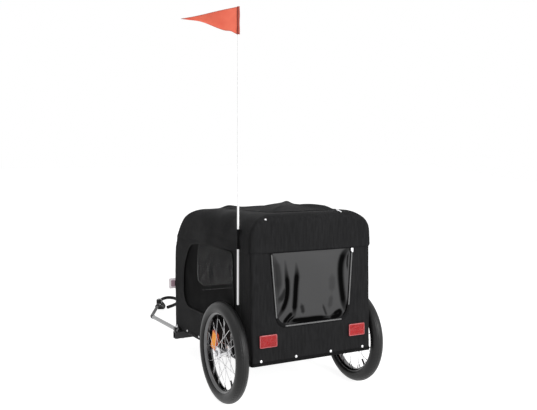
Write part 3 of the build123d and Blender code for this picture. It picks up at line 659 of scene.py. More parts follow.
# ---------------------------------------------------------------------------
# Roof hatch: a slack cloth lid sewn on along its front edge and closed by a zip round its other
# sides; it swells over the roof bows like a pillow.
HATCH_RISE = 0.030
HATCH_FOLDS = [
    ((0.15, 0.11), (0.02, 0.0), 0.012, 0.004), ((-0.15, 0.11), (-0.02, 0.0), 0.012, 0.003),
    ((0.16, -0.33), (0.09, -0.26), 0.018, 0.010), ((-0.150, -0.29), (-0.050, -0.11), 0.020, 0.011),
    ((0.12, -0.28), (0.00, -0.08), 0.062, -0.021), ((-0.06, -0.02), (-0.17, 0.12), 0.050, 0.009),
]


def rim_to_middle(rim, middle, rows):
    """Grid of even rows from an outline in to its middle, and how far in each of them lies."""
    t = np.linspace(0, 1, rows)[:, None, None]
    return rim[None] * (1 - t) + np.asarray(middle) * t, t[..., 0]


def hatch_points():
    """Ring from the hatch's outline in to its middle; its height over the roof is the lower of
    two crossing arches, softened, with the cloth's ripple on it."""
    flat, _ = rim_to_middle(hatch_line(), (0.0, HATCH_MID), 64)
    u = flat[..., 0] / HATCH_HALF_W
    v = (flat[..., 1] - HATCH_MID) / ((HATCH_REAR - HATCH_FRONT) / 2)
    a, b = 1 - u**2, 1 - v**2
    soft = 0.10
    swell = -soft * np.log(np.exp(-a / soft) + np.exp(-b / soft))
    swell = np.clip(swell, 0, 1) * HATCH_RISE
    points = xyz(flat[..., 0], flat[..., 1], ROOF_Z + COVER_T)
    slack = ripples(points, 31, 0.15, 0.004) + ripples(points, 32, 0.06, 0.0014)
    for start, end, width, height in HATCH_FOLDS:
        slack = slack + fold(points, (*start, ROOF_Z), (*end, ROOF_Z), width, height)
    points[..., 2] += swell + np.clip(swell / HATCH_RISE * 3, 0, 1) * slack
    return points


hatch_sheet = hatch_points()
hatch = surface("roof_hatch_cloth", hatch_sheet, cover_cloth, round_columns=True)
thicken(hatch, ROOF_CLOTH_T)
attach(hatch, "roof_hatch", "cover_cloth", "roof_hatch")
size = (2 * HATCH_HALF_W + HATCH_RISE, HATCH_REAR - HATCH_FRONT + HATCH_RISE)

# ---------------------------------------------------------------------------
# Rear window door: a tinted film, slack and creased, in a narrow black tape; its creases are darkened with
# painted shade. A pale zip runs down its left side, along its foot and up its right side; the corners are
# plain tape.
ZIP_PALE = (0.170, 0.170, 0.172, 1)


def tube(path, radius, facing, sides=10, flat=1.0, closed=False):
    """Skin carried along a path: at each point an ellipse of the radius, flattened along the
    facing direction, square to the path's run there."""
    path = np.asarray(path, float)
    if closed:
        run = np.roll(path, -1, axis=0) - np.roll(path, 1, axis=0)
    else:
        run = np.gradient(path, axis=0)
    run = unit(run)
    across = unit(np.cross(run, facing))
    outward = np.cross(across, run)
    turn = np.linspace(0, 2 * math.pi, sides, endpoint=False)
    radius = np.broadcast_to(np.asarray(radius, float), (len(path),))[:, None, None]
    ring = across[:, None] * np.cos(turn)[:, None] + flat * outward[:, None] * np.sin(turn)[:, None]
    return path[:, None] + radius * ring


def middle_row(points, row):
    """A grid's row drawn together to its middle, to close that end."""
    return np.broadcast_to(points[row].mean(axis=0), points[row].shape)[None]


def tube_piece(name, path, radius, facing, material, closed=False, **shape):
    """Tube as a piece, its two ends drawn together to a point where the path is open, with the
    run along it and the way round it as its UV map."""
    skin = tube(path, radius, facing, closed=closed, **shape)
    if not closed:
        skin = np.concatenate([middle_row(skin, 0), skin, middle_row(skin, -1)])
    steps = np.concatenate([[0], np.cumsum(np.linalg.norm(np.diff(skin.mean(axis=1), axis=0), axis=1))])
    round_it = np.linspace(0, 1, skin.shape[1])
    uv = np.stack(np.broadcast_arrays(steps[:, None], round_it[None]), axis=-1)
    return surface(name, skin, material, uv, round_rows=closed, round_columns=True)


def crease(u, v, path, width, power):
    """Depth of a crease that follows a line of points, from one at its middle to nothing: e to
    the minus power of the distance over the width, which narrows toward both of its ends."""
    path = np.asarray(path, float)
    best, place = np.full(u.shape, 9.0), np.zeros(u.shape)
    for i, (start, end) in enumerate(zip(path[:-1], path[1:])):
        run = end - start
        t = np.clip(((u - start[0]) * run[0] + (v - start[1]) * run[1]) / (run @ run), 0, 1)
        gap = np.hypot(u - start[0] - t * run[0], v - start[1] - t * run[1])
        place = np.where(gap < best, (i + t) / (len(path) - 1), place)
        best = np.minimum(best, gap)
    fade = np.clip(np.minimum(place, 1 - place) * 4, 0, 1)
    return np.exp(-((best / (width * (0.35 + 0.65 * fade))) ** power)) * (0.15 + 0.85 * fade)


def smooth_path(points, steps=40):
    """Bending line through given points, worked out as a spline through all of them."""
    points = np.asarray(points, float)
    padded = np.concatenate([2 * points[:1] - points[1:2], points, 2 * points[-1:] - points[-2:-1]])
    t = np.linspace(0, 1, steps, endpoint=False)[:, None]
    runs = []
    for a, b, c, d in zip(padded, padded[1:], padded[2:], padded[3:]):
        square, cube = (2 * a - 5 * b + 4 * c - d) * t**2, (3 * b - a - 3 * c + d) * t**3
        runs.append(0.5 * (2 * b + (c - a) * t + square + cube))
    return np.concatenate(runs + [points[-1:]])


FILM_IN = 0.0075
FILM_LOW_Z = REAR_DOOR_LOW_Z + 0.0095
FILM_TOP_Z = SEAM_Z - 0.002
FILM_SWELL = 0.010
FILM_RIPPLE = 0.0030
CREASE_DEPTH = 0.003
# Each crease is its run over the film, its width and its depth; the depth sinks the film and also sets how
# dark the crease is painted, as painted shade.
FILM_CREASES = [
    ([
        (0.282, 0.84), (0.285, 0.69), (0.264, 0.51), (0.246, 0.33), (0.234, 0.20), (0.226, 0.07),
    ], 0.037, 1.0),
    ([
        (0.148, 0.88), (0.152, 0.72), (0.156, 0.58), (0.150, 0.46), (0.128, 0.345), (0.098, 0.26),
        (0.048, 0.165), (-0.040, 0.04),
    ], 0.032, 1.0),
    ([(0.160, 0.56), (0.115, 0.446), (0.071, 0.377), (0.025, 0.300)], 0.036, 0.65),
    ([(0.010, 0.97), (0.040, 0.83), (0.052, 0.70), (0.045, 0.56), (0.020, 0.40)], 0.040, 0.50),
    ([
        (1.060, 1.10), (0.975, 1.00), (0.915, 0.93), (0.878, 0.83), (0.864, 0.72), (0.866, 0.61),
        (0.880, 0.48), (0.905, 0.34), (0.938, 0.20), (0.985, 0.08), (1.040, -0.05),
    ], 0.050, 0.93),
    ([(0.972, 0.95), (0.958, 0.81), (0.967, 0.66)], 0.012, 0.8),
    ([(0.970, 0.26), (0.998, 0.16), (0.990, 0.08), (0.955, 0.03), (0.905, 0.000)], 0.036, 1.0),
    ([
        (0.700, 0.020), (0.790, 0.064), (0.845, 0.096), (0.878, 0.104), (0.895, 0.066), (0.870, 0.034),
        (0.800, 0.025),
    ], 0.034, 1.0),
    ([(0.700, -0.010), (0.780, 0.018), (0.840, 0.036), (0.885, 0.036), (0.930, 0.000)], 0.044, 1.0),
    ([(0.050, -0.015), (0.300, -0.002), (0.500, 0.000), (0.700, -0.002), (0.960, -0.015)], 0.034, 1.0),
    ([
        (0.110, -0.02), (0.185, 0.028), (0.229, 0.042), (0.303, 0.046), (0.413, 0.044), (0.524, 0.044),
        (0.616, 0.038), (0.720, 0.030), (0.830, 0.020),
    ], 0.036, 1.0),
    ([(0.060, -0.03), (0.122, 0.070), (0.173, 0.128), (0.222, 0.175)], 0.031, 1.0),
    ([(0.110, -0.02), (0.160, 0.050), (0.200, 0.085), (0.250, 0.125)], 0.015, 0.9),
    ([(0.325, 0.28), (0.345, 0.19), (0.352, 0.12)], 0.028, 0.65),
    ([(0.620, 0.24), (0.659, 0.135), (0.700, 0.040)], 0.016, 0.6),
    ([(0.735, 0.66), (0.742, 0.52), (0.740, 0.38)], 0.045, 0.22),
    ([(0.738, 0.36), (0.722, 0.15)], 0.032, 0.28),
]
REAR_BAND = 0.0105


def film_points():
    """Film between its side edges, which close in toward the foot and round off at its corners; it swells
    out in the middle and sinks along its creases. Also gives the creases' painted shade: how dark the
    material paints each point along a crease."""
    v = np.linspace(0, 1, 150)[:, None]
    u = np.linspace(0, 1, 190)[None, :]
    z = FILM_LOW_Z + (FILM_TOP_Z - FILM_LOW_Z) * v
    straight = REAR_DOOR_LOW - FILM_IN + DOOR_SLOPE * (z - REAR_DOOR_LOW_Z)
    radius = REAR_DOOR_R - 0.008
    under = np.clip(radius - (z - FILM_LOW_Z), 0, radius)
    half = straight - (radius - np.sqrt(radius**2 - under**2))
    x = half * (1 - 2 * u)
    painted_crease_shade = np.zeros(np.broadcast_shapes(u.shape, v.shape))
    sink = np.zeros_like(painted_crease_shade)
    wide_u, wide_v = np.broadcast_arrays(u, v)
    drawn_u = (1 - x / straight) / 2
    for path, width, depth in FILM_CREASES:
        line = smooth_path(path, 12)
        painted_crease_shade = np.maximum(painted_crease_shade, depth * crease(drawn_u, wide_v, line, width, 4))
        sink = sink + depth * crease(drawn_u, wide_v, line, width, 2)
    swell = FILM_SWELL * np.sin(math.pi * wide_u) ** 0.5 * np.sin(math.pi * wide_v) ** 0.6
    soft = FILM_RIPPLE * np.sin(9 * wide_u + 2 * wide_v) * np.sin(math.pi * wide_v)
    from_sides = np.clip(np.minimum(wide_u, 1 - wide_u) * 22, 0, 1)
    edge = from_sides * np.clip(np.minimum(wide_v * 18, (1 - wide_v) * 30), 0, 1)
    y = CABIN_REAR - 0.0015 + edge * (swell + soft * edge - CREASE_DEPTH * np.clip(sink, 0, 1))
    return xyz(x, y, z), painted_crease_shade


def tell(piece, name, values):
    """Keeps one number for each of a piece's points, for its material to read."""
    layer = piece.data.attributes.new(name, "FLOAT", "POINT")
    layer.data.foreach_set("value", np.asarray(values, np.float32).ravel())


film_material, tree, coords = new_material("tinted_film")
# Painted shade: the crease attribute paints the film's grey near black along its creases, where the folds
# would be in shade.
depth = new_node(tree, "Attribute", attribute_name="crease").outputs["Fac"]
haze = noise_node(tree, coords, 9, 3)
painted_crease_shade = map_value(tree, depth, 0, 0.9, 0, 1)
principled(
    tree,
    base_color=tint(tree, painted_crease_shade, (0.086, 0.086, 0.0872, 1), (0.0006, 0.0006, 0.0006, 1)),
    roughness=math_node(tree, "MULTIPLY_ADD", depth, 0.35, map_value(tree, haze, 0.3, 0.7, 0.26, 0.34)),
    normal=bump(tree, haze, 0.004, 0.25),
    specular_ior_level=0.02,
)

film_grid, film_crease_shade = film_points()
film_sheet = surface("rear_window_film", film_grid, film_material)
tell(film_sheet, "crease", film_crease_shade)
attach(film_sheet, "rear_door", "window_film", "rear_door_window")
size = (2 * REAR_DOOR_TOP, SEAM_Z - REAR_DOOR_LOW_Z)

zip_material, tree, coords = new_material("pale_zip", "UV")
teeth = wave_node(tree, coords, 120, "X")
principled(
    tree,
    base_color=ZIP_PALE,
    roughness=map_value(tree, teeth, 0, 1, 0.35, 0.6),
    normal=bump(tree, teeth, 0.0008, 0.7),
)
TAPE_BULGE = 0.0018
REAR_TAPE_FLAT_H = 0.09
ZIP_R, ZIP_FLAT, ZIP_LIFT = 0.0030, 0.5, 0.0022


def on_rear(line, lift):
    """Points of a flat outline in x and z, lifted off the rear wall's plane."""
    return xyz(line[:, 0], CABIN_REAR + lift, line[:, 1])


def rear_zip(name, x, z):
    """Run of the zip over the rear wall through the given x and z."""
    path = xyz(x, CABIN_REAR + ZIP_LIFT, z)
    run = tube_piece(f"rear_zip_{name}", path, ZIP_R, (0, 1, 0), zip_material, flat=ZIP_FLAT)
    attach(run, "rear_door", "cover_cloth")


tape_inner = on_rear(rear_door_line(-REAR_BAND, -0.004), 0.0002)
tape_grid = ring_between(on_rear(rear_door_line(), 0.0006), tape_inner, 10)
across = np.linspace(0, 1, 10)[:, None]
tape_grid[..., 1] += TAPE_BULGE * np.sin(math.pi * across)
tape = surface("rear_door_tape", tape_grid, band_cloth, round_columns=True, flip=True)
thicken(tape, WALL_CLOTH_T)
attach(tape, "rear_door", "cover_cloth", "rear_door_band")
size = (2 * REAR_DOOR_TOP, REAR_TAPE_FLAT_H)

for name, side in SIDES:
    z = np.linspace(REAR_DOOR_LOW_Z + 0.050 - 0.010 * side, SEAM_Z - 0.008, 60)
    rear_zip(name, side * (REAR_DOOR_LOW + DOOR_SLOPE * (z - REAR_DOOR_LOW_Z) - 0.0045), z)
x = np.linspace(REAR_DOOR_LOW - 0.040, -(REAR_DOOR_LOW - 0.036), 60)
rear_zip("foot", x, REAR_DOOR_LOW_Z + 0.0055)

# ---------------------------------------------------------------------------
# Zip pullers: a cast slider on the zip and a pressed pull that hangs from it, of bright zinc on
# the rear window, later on the front door, and on the hatch's right side, where it lies on the
# roof; blackened on the hatch's left side, where it rides on the hatch's own zip.
zinc_material, tree, coords = new_material("bright_zinc")
grain = noise_node(tree, coords, 220, 3)
principled(
    tree,
    metallic=1.0,
    base_color=tint(tree, grain, (0.62, 0.62, 0.63, 1), (0.86, 0.86, 0.87, 1)),
    roughness=map_value(tree, grain, 0.2, 0.8, 0.22, 0.40),
)

black_metal, tree, coords = new_material("black_coated_metal")
speckle = noise_node(tree, coords, 900, 2)
scuff = noise_node(tree, coords, 14, 5)
principled(
    tree,
    base_color=tint(tree, scuff, (0.0075, 0.0075, 0.0078, 1), (0.0135, 0.0135, 0.0140, 1)),
    roughness=map_value(tree, scuff, 0.35, 0.7, 0.30, 0.48),
    normal=bump(tree, speckle, 0.0003, 0.35),
    specular_ior_level=0.35,
)


def slab_points(middle, right, up, width, height, depth, corner, edge, steps=64):
    """Flat piece with a round-cornered outline: its back's middle, then rings up its side, over
    its rounded edge and in to the middle of its face. right and up lie along its face."""
    turn = np.linspace(0, 2 * math.pi, steps, endpoint=False)
    sides = [(1, 0, width / 2), (-1, 0, width / 2), (0, 1, height / 2), (0, -1, height / 2)]
    rings = [(0.0, 0.0), (0.0, depth - edge)]
    for a in np.linspace(0.3, math.pi / 2, 5):
        rings.append((edge * (1 - math.cos(a)), depth - edge * (1 - math.sin(a))))
    right, up, middle = (np.asarray(way, float) for way in (right, up, middle))
    out = np.cross(right, up)
    rows = []
    for inset, lift in rings:
        inner = [(u, v, d - inset) for u, v, d in sides]
        outline = outline_at(turn, inner, max(corner - inset, SEWN_R), (0, 0))
        rows.append(xyz(outline[:, 0], outline[:, 1], lift))
    face = rows[-1]
    rows += [face * (shrink, shrink, 1) for shrink in (0.8, 0.55, 0.25, 0.0)]
    flat = np.stack(rows)
    points = middle + flat[..., :1] * right + flat[..., 1:2] * up + flat[..., 2:] * out
    return np.concatenate([middle_row(points, 0), points])


def slab(name, material, *place):
    """Flat piece with a round-cornered outline."""
    return surface(name, slab_points(*place), material, round_columns=True)


def puller(name, place, right, up, body, material, pull=0.022, width=0.009):
    """Slider and pull: two flat pieces, the pull half over the slider, joined as one mesh."""
    place, up = np.asarray(place, float), unit(up)
    right = unit(right - up * (right @ up))
    out = np.cross(right, up)
    first = slab_points(place, right, up, width, 0.014, 0.005, 0.003, 0.0015, steps=32)
    low = place - up * (0.006 + pull / 2) + out * 0.004
    second = slab_points(low, right, up, width * 2 / 3, pull, 0.002, 0.0028, 0.0006, steps=32)
    faces = grid_faces(*first.shape[:2], round_columns=True)
    both = np.concatenate([first.reshape(-1, 3), second.reshape(-1, 3)])
    piece = smooth_mesh(name, both, np.concatenate([faces, faces + len(both) // 2]), material)
    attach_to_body(piece, body)


REAR_PULLER = ((-0.1815, CABIN_REAR + 0.003, 0.594), (-1, 0, 0), (0, 0, 1))
HATCH_PULLER_RIGHT = ((-0.1350, 0.1500, 0.7510), (-0.94, -0.29, 0.18), (0.34, -0.79, 0.51))
HATCH_PULLER_LEFT = ((0.157, 0.020, ROOF_Z + 0.007), (-0.5, -0.86, 0), (-0.80, -0.55, 0.24))
puller("rear_puller", *REAR_PULLER, "rear_door", zinc_material, 0.004, 0.012)
puller("hatch_puller_right", *HATCH_PULLER_RIGHT, "frame", zinc_material, 0.014, 0.011)
puller("hatch_puller_left", *HATCH_PULLER_LEFT, "roof_hatch", black_metal, 0.034, 0.012)

# ---------------------------------------------------------------------------
# Side windows and front door window: fine black netting, a little slack, sewn in under a bound
# edge. The front door is closed by a black zip round its sides and foot.
NET_SCALE = 150
NET_ROW_SCALE = 35
NET_INSET = 0.0035
SIDE_NET_SAG = 0.006
BINDING_R = 0.0042
FRONT_TAPE_FLAT_H = 0.10


def hole_level(openness):
    """Height of a wave under which a share of it lies; two such waves crossed leave the openness."""
    return (1 - math.cos(math.pi * math.sqrt(openness))) / 2


def net_material(name, tight, slack):
    """Black netting: crossing threads with square holes that let the background through, more
    open along knitted rows, nine millimetres apart, than between them."""
    material, tree, coords = new_material(name, "UV")
    rows = wave_node(tree, coords, NET_ROW_SCALE, "Y")
    level_of = map_value(tree, rows, 0.35, 0.65, hole_level(tight), hole_level(slack))
    gaps = [math_node(tree, "LESS_THAN", wave_node(tree, coords, NET_SCALE, way), level_of) for way in "XY"]
    hole = math_node(tree, "MULTIPLY", *gaps)
    shade = noise_node(tree, coords, 12, 3)
    principled(
        tree,
        alpha=map_value(tree, hole, 0, 1, 1, 0),
        base_color=tint(tree, shade, (0.0080, 0.0080, 0.0083, 1), (0.0125, 0.0125, 0.0130, 1)),
        roughness=map_value(tree, shade, 0.3, 0.7, 0.6, 0.8),
        specular_ior_level=0.03,
    )
    return material


side_net = net_material("side_netting", 0.11, 0.11)
front_net = net_material("front_netting", 0.04, 0.22)
BINDING_BLACK = ((0.0050, 0.0050, 0.0052, 1), (0.0080, 0.0080, 0.0084, 1))
binding = cloth_material("edge_binding", *BINDING_BLACK, 0.55, 500)

for side, sign in SIDES:
    x = sign * CABIN_HALF_W
    flat, inward = rim_to_middle(side_window_line(), SIDE_WINDOW_MID, 40)
    points = xyz(x, flat[..., 0], flat[..., 1])
    held = np.clip(inward * 8, 0, 1)
    sag = SIDE_NET_SAG * np.sin(np.clip(inward * 1.6, 0, 1) * math.pi / 2)
    sag = sag + held * ripples(points, 40 + sign, 0.22, 0.004)
    sag = sag + held * fold(points, (x, -0.36, 0.42), (x, -0.20, 0.57), 0.012, 0.004)
    points[..., 0] -= sign * (NET_INSET + sag)
    window = surface(f"side_netting_{side}", points, side_net, uv=flat, round_columns=True, flip=sign < 0)
    attach(window, "frame", "mesh_cloth", f"window_mesh_{side}")
    line = side_window_line(0.002)
    edge = onto_cabin(xyz(x, line[:, 0], line[:, 1]), 0.0005)
    shape = {"closed": True, "flat": 0.6, "sides": 12}
    piping = tube_piece(f"side_window_binding_{side}", edge, BINDING_R, (sign, 0, 0), binding, **shape)
    attach(piping, "frame", "cover_cloth")


def on_front(x, z, lift=0.0):
    """Points on the front wall's face at an x and a height, as the wall's own cloth was pushed
    onto the cabin, then lifted off it."""
    return onto_cabin(xyz(x, front_line(z), z), lift)


rim = front_door_line(-DOOR_BAND, -DOOR_BAND)
flat = ring_between(front_door_line(), rim, 10)
lift = 0.0006 - 0.0004 * across + TAPE_BULGE * np.sin(math.pi * across)
tape_grid = on_front(flat[..., 0], flat[..., 1], lift)
tape = surface("front_door_tape", tape_grid, band_cloth, round_columns=True)
thicken(tape, WALL_CLOTH_T)
attach(tape, "front_door", "cover_cloth", "front_door_band")
size = (2 * FRONT_DOOR_HALF, FRONT_TAPE_FLAT_H)

flat, inward = rim_to_middle(rim, rim.mean(axis=0), 36)
points = xyz(flat[..., 0], front_line(flat[..., 1]), flat[..., 1])
held = np.clip(inward * 6, 0, 1)
sag = held * (0.003 + ripples(points, 51, 0.2, 0.005))
sag = sag + held * fold(points, (0.13, CABIN_FRONT, 0.42), (0.06, CABIN_FRONT + 0.01, 0.53), 0.010, 0.006)
points = on_front(points[..., 0], points[..., 2])
points[..., 1] += 0.002 + sag
net = surface("front_netting_sheet", points, front_net, uv=flat, round_columns=True)
attach(net, "front_door", "mesh_cloth", "front_door_mesh")
size = (2 * FRONT_DOOR_HALF, SEAM_Z - FRONT_DOOR_LOW_Z)

ZIP_CORNER_R = 0.050
z = np.linspace(SEAM_Z - 0.006, FRONT_DOOR_LOW_Z + 0.056, 30)
quarter = np.linspace(0, math.pi / 2, 16)[1:-1]
low_z = FRONT_DOOR_LOW_Z + 0.006
side_x = FRONT_DOOR_HALF - 0.006
corner_x = side_x - ZIP_CORNER_R * (1 - np.cos(quarter))
corner_z = low_z + ZIP_CORNER_R * (1 - np.sin(quarter))
foot_x = np.linspace(side_x - ZIP_CORNER_R, -side_x + ZIP_CORNER_R, 30)
x = np.concatenate([np.full(30, side_x), corner_x, foot_x, -corner_x[::-1], np.full(30, -side_x)])
z = np.concatenate([z, corner_z, np.full(30, low_z), corner_z[::-1], z[::-1]])
zip_run = tube_piece("front_zip", on_front(x, z, 0.0024), 0.0034, (0, -1, 0), binding, flat=ZIP_FLAT)
attach(zip_run, "front_door", "cover_cloth")
for name, x in (("left", side_x), ("right", -side_x)):
    low, place, high = on_front(x, SEAM_Z - np.array([0.040, 0.020, 0.006]), 0.004)
    puller(f"front_puller_{name}", place, (1, 0, 0), high - low, "front_door", zinc_material)

# ---------------------------------------------------------------------------
# Hatch zip: a black coil round the hatch's sides and rear edge, on the hatch's own tape; along
# its front edge the hatch is sewn to the roof.
line = hatch_line(-0.004)
from_front = np.arctan2(line[:, 1] - HATCH_MID, line[:, 0]) + math.pi / 2
line = line[np.argsort(np.mod(from_front, 2 * math.pi))]
line = line[line[:, 1] > HATCH_FRONT + 0.02]
path = xyz(line[:, 0], line[:, 1], ROOF_Z + COVER_T + ZIP_LIFT)
zip_run = tube_piece("hatch_zip", path, 0.0032, (0, 0, 1), binding, flat=0.6)
attach(zip_run, "roof_hatch", "cover_cloth")

# ---------------------------------------------------------------------------
# Hem: the walls' lower edge is doubled in a black band and held to the base rails by bright
# studs; a stud also holds the roof cover at the left rear.
HEM_BAND = 0.013
HEM_T = 0.0014
STUD_R = 0.0060
STUD_RISE = 0.55
STUD_Z = HEM_Z + 0.0185
SCREW_R = 0.0048
SCREW_Z = HEM_Z + 0.0135
ROOF_STUD = (0.2052, 0.1737, 0.7302)


def hem_points():
    """Band round the cabin's foot, from its lower edge up, a little proud of the walls."""
    centre = (0.0, CABIN_MID)
    half = (CABIN_REAR - CABIN_FRONT) / 2
    edges = [(1, 0, CABIN_HALF_W), (-1, 0, CABIN_HALF_W), (0, 1, half), (0, -1, half)]
    line = outline_at(angles, edges, POST_R, centre)
    v = np.linspace(0, 1, 6)[:, None]
    points = xyz(line[:, 0], line[:, 1], HEM_Z + HEM_BAND * v)
    return onto_cabin(points, 0.0006 + 0.0010 * np.sin(math.pi * v))


hem = surface("hem_band", hem_points(), binding, round_columns=True)
thicken(hem, HEM_T)
attach(hem, "frame", "cover_cloth")


def square_to(out):
    """Outward direction of length one and two more across it."""
    right = unit(np.cross(out, (0.1, 0.2, 1.0)))
    return np.asarray(out, float), right, np.cross(out, right)


def stud(name, place, out, radius):
    """Rivet head: rings from its foot over a low dome, turned about the outward direction."""
    out, right, up = square_to(out)
    rise = np.linspace(0, math.pi / 2, 8)[:, None, None]
    turn = np.linspace(0, 2 * math.pi, 20, endpoint=False)[:, None]
    ring = right * np.cos(turn) + up * np.sin(turn)
    points = np.asarray(place) + radius * (np.cos(rise) * ring + STUD_RISE * np.sin(rise) * out)
    points = np.concatenate([middle_row(points, 0), points])
    attach(surface(name, points, zinc_material, round_columns=True), "frame", "zinc_steel")


for i, x in enumerate((0.2327, 0.0796, -0.0796, -0.2327)):
    stud(f"hem_stud_rear_{i}", (x, CABIN_REAR + 0.0005, STUD_Z), (0, 1, 0), STUD_R)
    stud(f"hem_stud_front_{i}", (x, CABIN_FRONT - 0.0005, STUD_Z), (0, -1, 0), STUD_R)
for side, sign in SIDES:
    for i, y in enumerate((0.155, -0.150, -0.339, -0.478, -0.610)):
        place = (sign * (CABIN_HALF_W + 0.0005), y, SCREW_Z)
        stud(f"hem_screw_{side}_{i}", place, (sign, 0, 0), SCREW_R)
nearest = np.linalg.norm(roof_sheet - ROOF_STUD, axis=-1).argmin()
stud_at = np.unravel_index(nearest, roof_sheet.shape[:2])
stud("roof_stud", roof_sheet[stud_at], (0.35, 0.55, 0.76), 0.8 * STUD_R)

# ---------------------------------------------------------------------------
# Reflectors: moulded plastic with a field of small prisms inside a smooth rim, painted paler than the
# prisms as a painted highlight where its bevel catches the light. The red ones are riveted to the rear
# wall; the clear ones stand out past the front corners on pads.
def faces_out(points, round_rows):
    """Whether a closed grid's faces point outwards: the sign of the volume they enclose."""
    rows, columns = points.shape[:2]
    corners = points.reshape(-1, 3)[grid_faces(rows, columns, round_rows, True)]
    a, b, c, d = np.moveaxis(corners - points.mean(axis=(0, 1)), 1, 0)
    volume = (np.cross(a, b) * c).sum() + (np.cross(a, c) * d).sum()
    return volume > 0


def solid(name, points, material, uv=None, round_rows=False, sharp=False):
    """Closed piece from a grid, turned the right way out whichever way its grid runs."""
    rows, columns = points.shape[:2]
    faces = grid_faces(rows, columns, round_rows, True, not faces_out(points, round_rows))
    flat_uv = None if uv is None else np.asarray(uv).reshape(-1, 2)
    return smooth_mesh(name, points.reshape(-1, 3), faces, material, flat_uv, sharp)


def plastic_material(name, dark, light, roughness, gloss=0.5, coat=0.0, painted_glow=0.0):
    """Moulded plastic: a faint cloud of darker and lighter tone and fine speckle in its gloss. Where a
    painted glow is given, it also gives off light of its own colour: painted light, not a lamp."""
    material, tree, coords = new_material(name)
    cloud = noise_node(tree, coords, 24, 3)
    speckle = noise_node(tree, coords, 700, 2)
    colour = tint(tree, map_value(tree, cloud, 0.3, 0.7, 0, 1), dark, light)
    principled(
        tree,
        base_color=colour,
        emission_color=colour,
        # Painted light: the emission makes the plastic glow by the given amount.
        emission_strength=painted_glow,
        roughness=map_value(tree, cloud, 0.3, 0.7, roughness, roughness + 0.08),
        normal=bump(tree, speckle, 0.0002, 0.25),
        specular_ior_level=gloss,
        coat_weight=coat,
        coat_roughness=0.08,
    )
    return material


RED = ((0.475, 0.015, 0.017, 1), (0.61, 0.026, 0.029, 1))
# The rims are painted paler than the prisms: a painted highlight where the bevel catches the light. The
# clear rim also glows: painted light.
RED_RIM_HIGHLIGHT = ((0.56, 0.085, 0.095, 1), (0.64, 0.13, 0.14, 1))
CLEAR = ((0.70, 0.66, 0.68, 1), (0.82, 0.80, 0.81, 1))
CLEAR_RIM_HIGHLIGHT = ((0.88, 0.80, 0.83, 1), (0.94, 0.89, 0.91, 1))
# The front reflectors' backs are painted bright and glow: painted light where the cabin keeps the lamps off
# them.
MAUVE_LIT = ((0.46, 0.31, 0.37, 1), (0.58, 0.42, 0.48, 1))
RUBBER = ((0.0070, 0.0070, 0.0073, 1), (0.0120, 0.0120, 0.0124, 1))
red_prism = plastic_material("red_prisms", *RED, 0.22, 0.4, 0.2)
red_rim = plastic_material("red_rim", *RED_RIM_HIGHLIGHT, 0.25, 0.5, 0.3)
clear_prism = plastic_material("clear_prisms", *CLEAR, 0.15, 0.6, 0.5)
clear_rim = plastic_material("clear_rim", *CLEAR_RIM_HIGHLIGHT, 0.2, 0.6, 0.5, 0.3)
mauve_back_lit = plastic_material("reflector_back", *MAUVE_LIT, 0.35, painted_glow=0.25)
black_rubber = plastic_material("black_rubber", *RUBBER, 0.55, 0.25)
REFLECTOR_W = 0.075
REFLECTOR_H = 0.048
REFLECTOR_T = 0.008
REFLECTOR_RIM = 0.0034
REAR_REFLECTOR = (0.2025, HEM_Z + 0.093)
FRONT_REFLECTOR = (CABIN_HALF_W + 0.024 - REFLECTOR_W / 2, HEM_Z + 0.210)
REFLECTOR_PAD_T = 0.006
RIM_DROP = 0.0012
PRISM_PITCH = 0.0024
PRISM_RISE = 0.0011


def prisms(name, material, middle, right, up, width, height, low):
    """Field of square pyramids on a flat face: it stands low off the middle, and by the prisms'
    rise more at the grid's points whose row and column are both odd."""
    columns, rows = 2 * round(width / PRISM_PITCH) + 1, 2 * round(height / PRISM_PITCH) + 1
    j, i = np.meshgrid(np.arange(columns), np.arange(rows))
    right, up, middle = (np.asarray(way, float) for way in (right, up, middle))
    u, v = width * (j / (columns - 1) - 0.5), height * (i / (rows - 1) - 0.5)
    lift = low + PRISM_RISE * (i % 2) * (j % 2)
    points = middle + u[..., None] * right + v[..., None] * up + lift[..., None] * np.cross(right, up)
    return smooth_mesh(name, points.reshape(-1, 3), grid_faces(rows, columns), material, sharp=True)


def reflector(name, facing, size, face, rim, body, slot, *stands_for):
    """Rim slab with its field of prisms set inside it. facing is the middle of its back and the
    two directions along its face, size its width, height and depth."""
    width, height, depth = size
    base = slab(f"{name}_rim", rim, *facing, width, height, depth - RIM_DROP, 0.0035, 0.0013)
    inner = (width - 2 * REFLECTOR_RIM, height - 2 * REFLECTOR_RIM)
    field = prisms(f"{name}_prisms", face, *facing, *inner, depth - RIM_DROP)
    attach(base, body, slot, *stands_for)
    attach(field, body, slot)


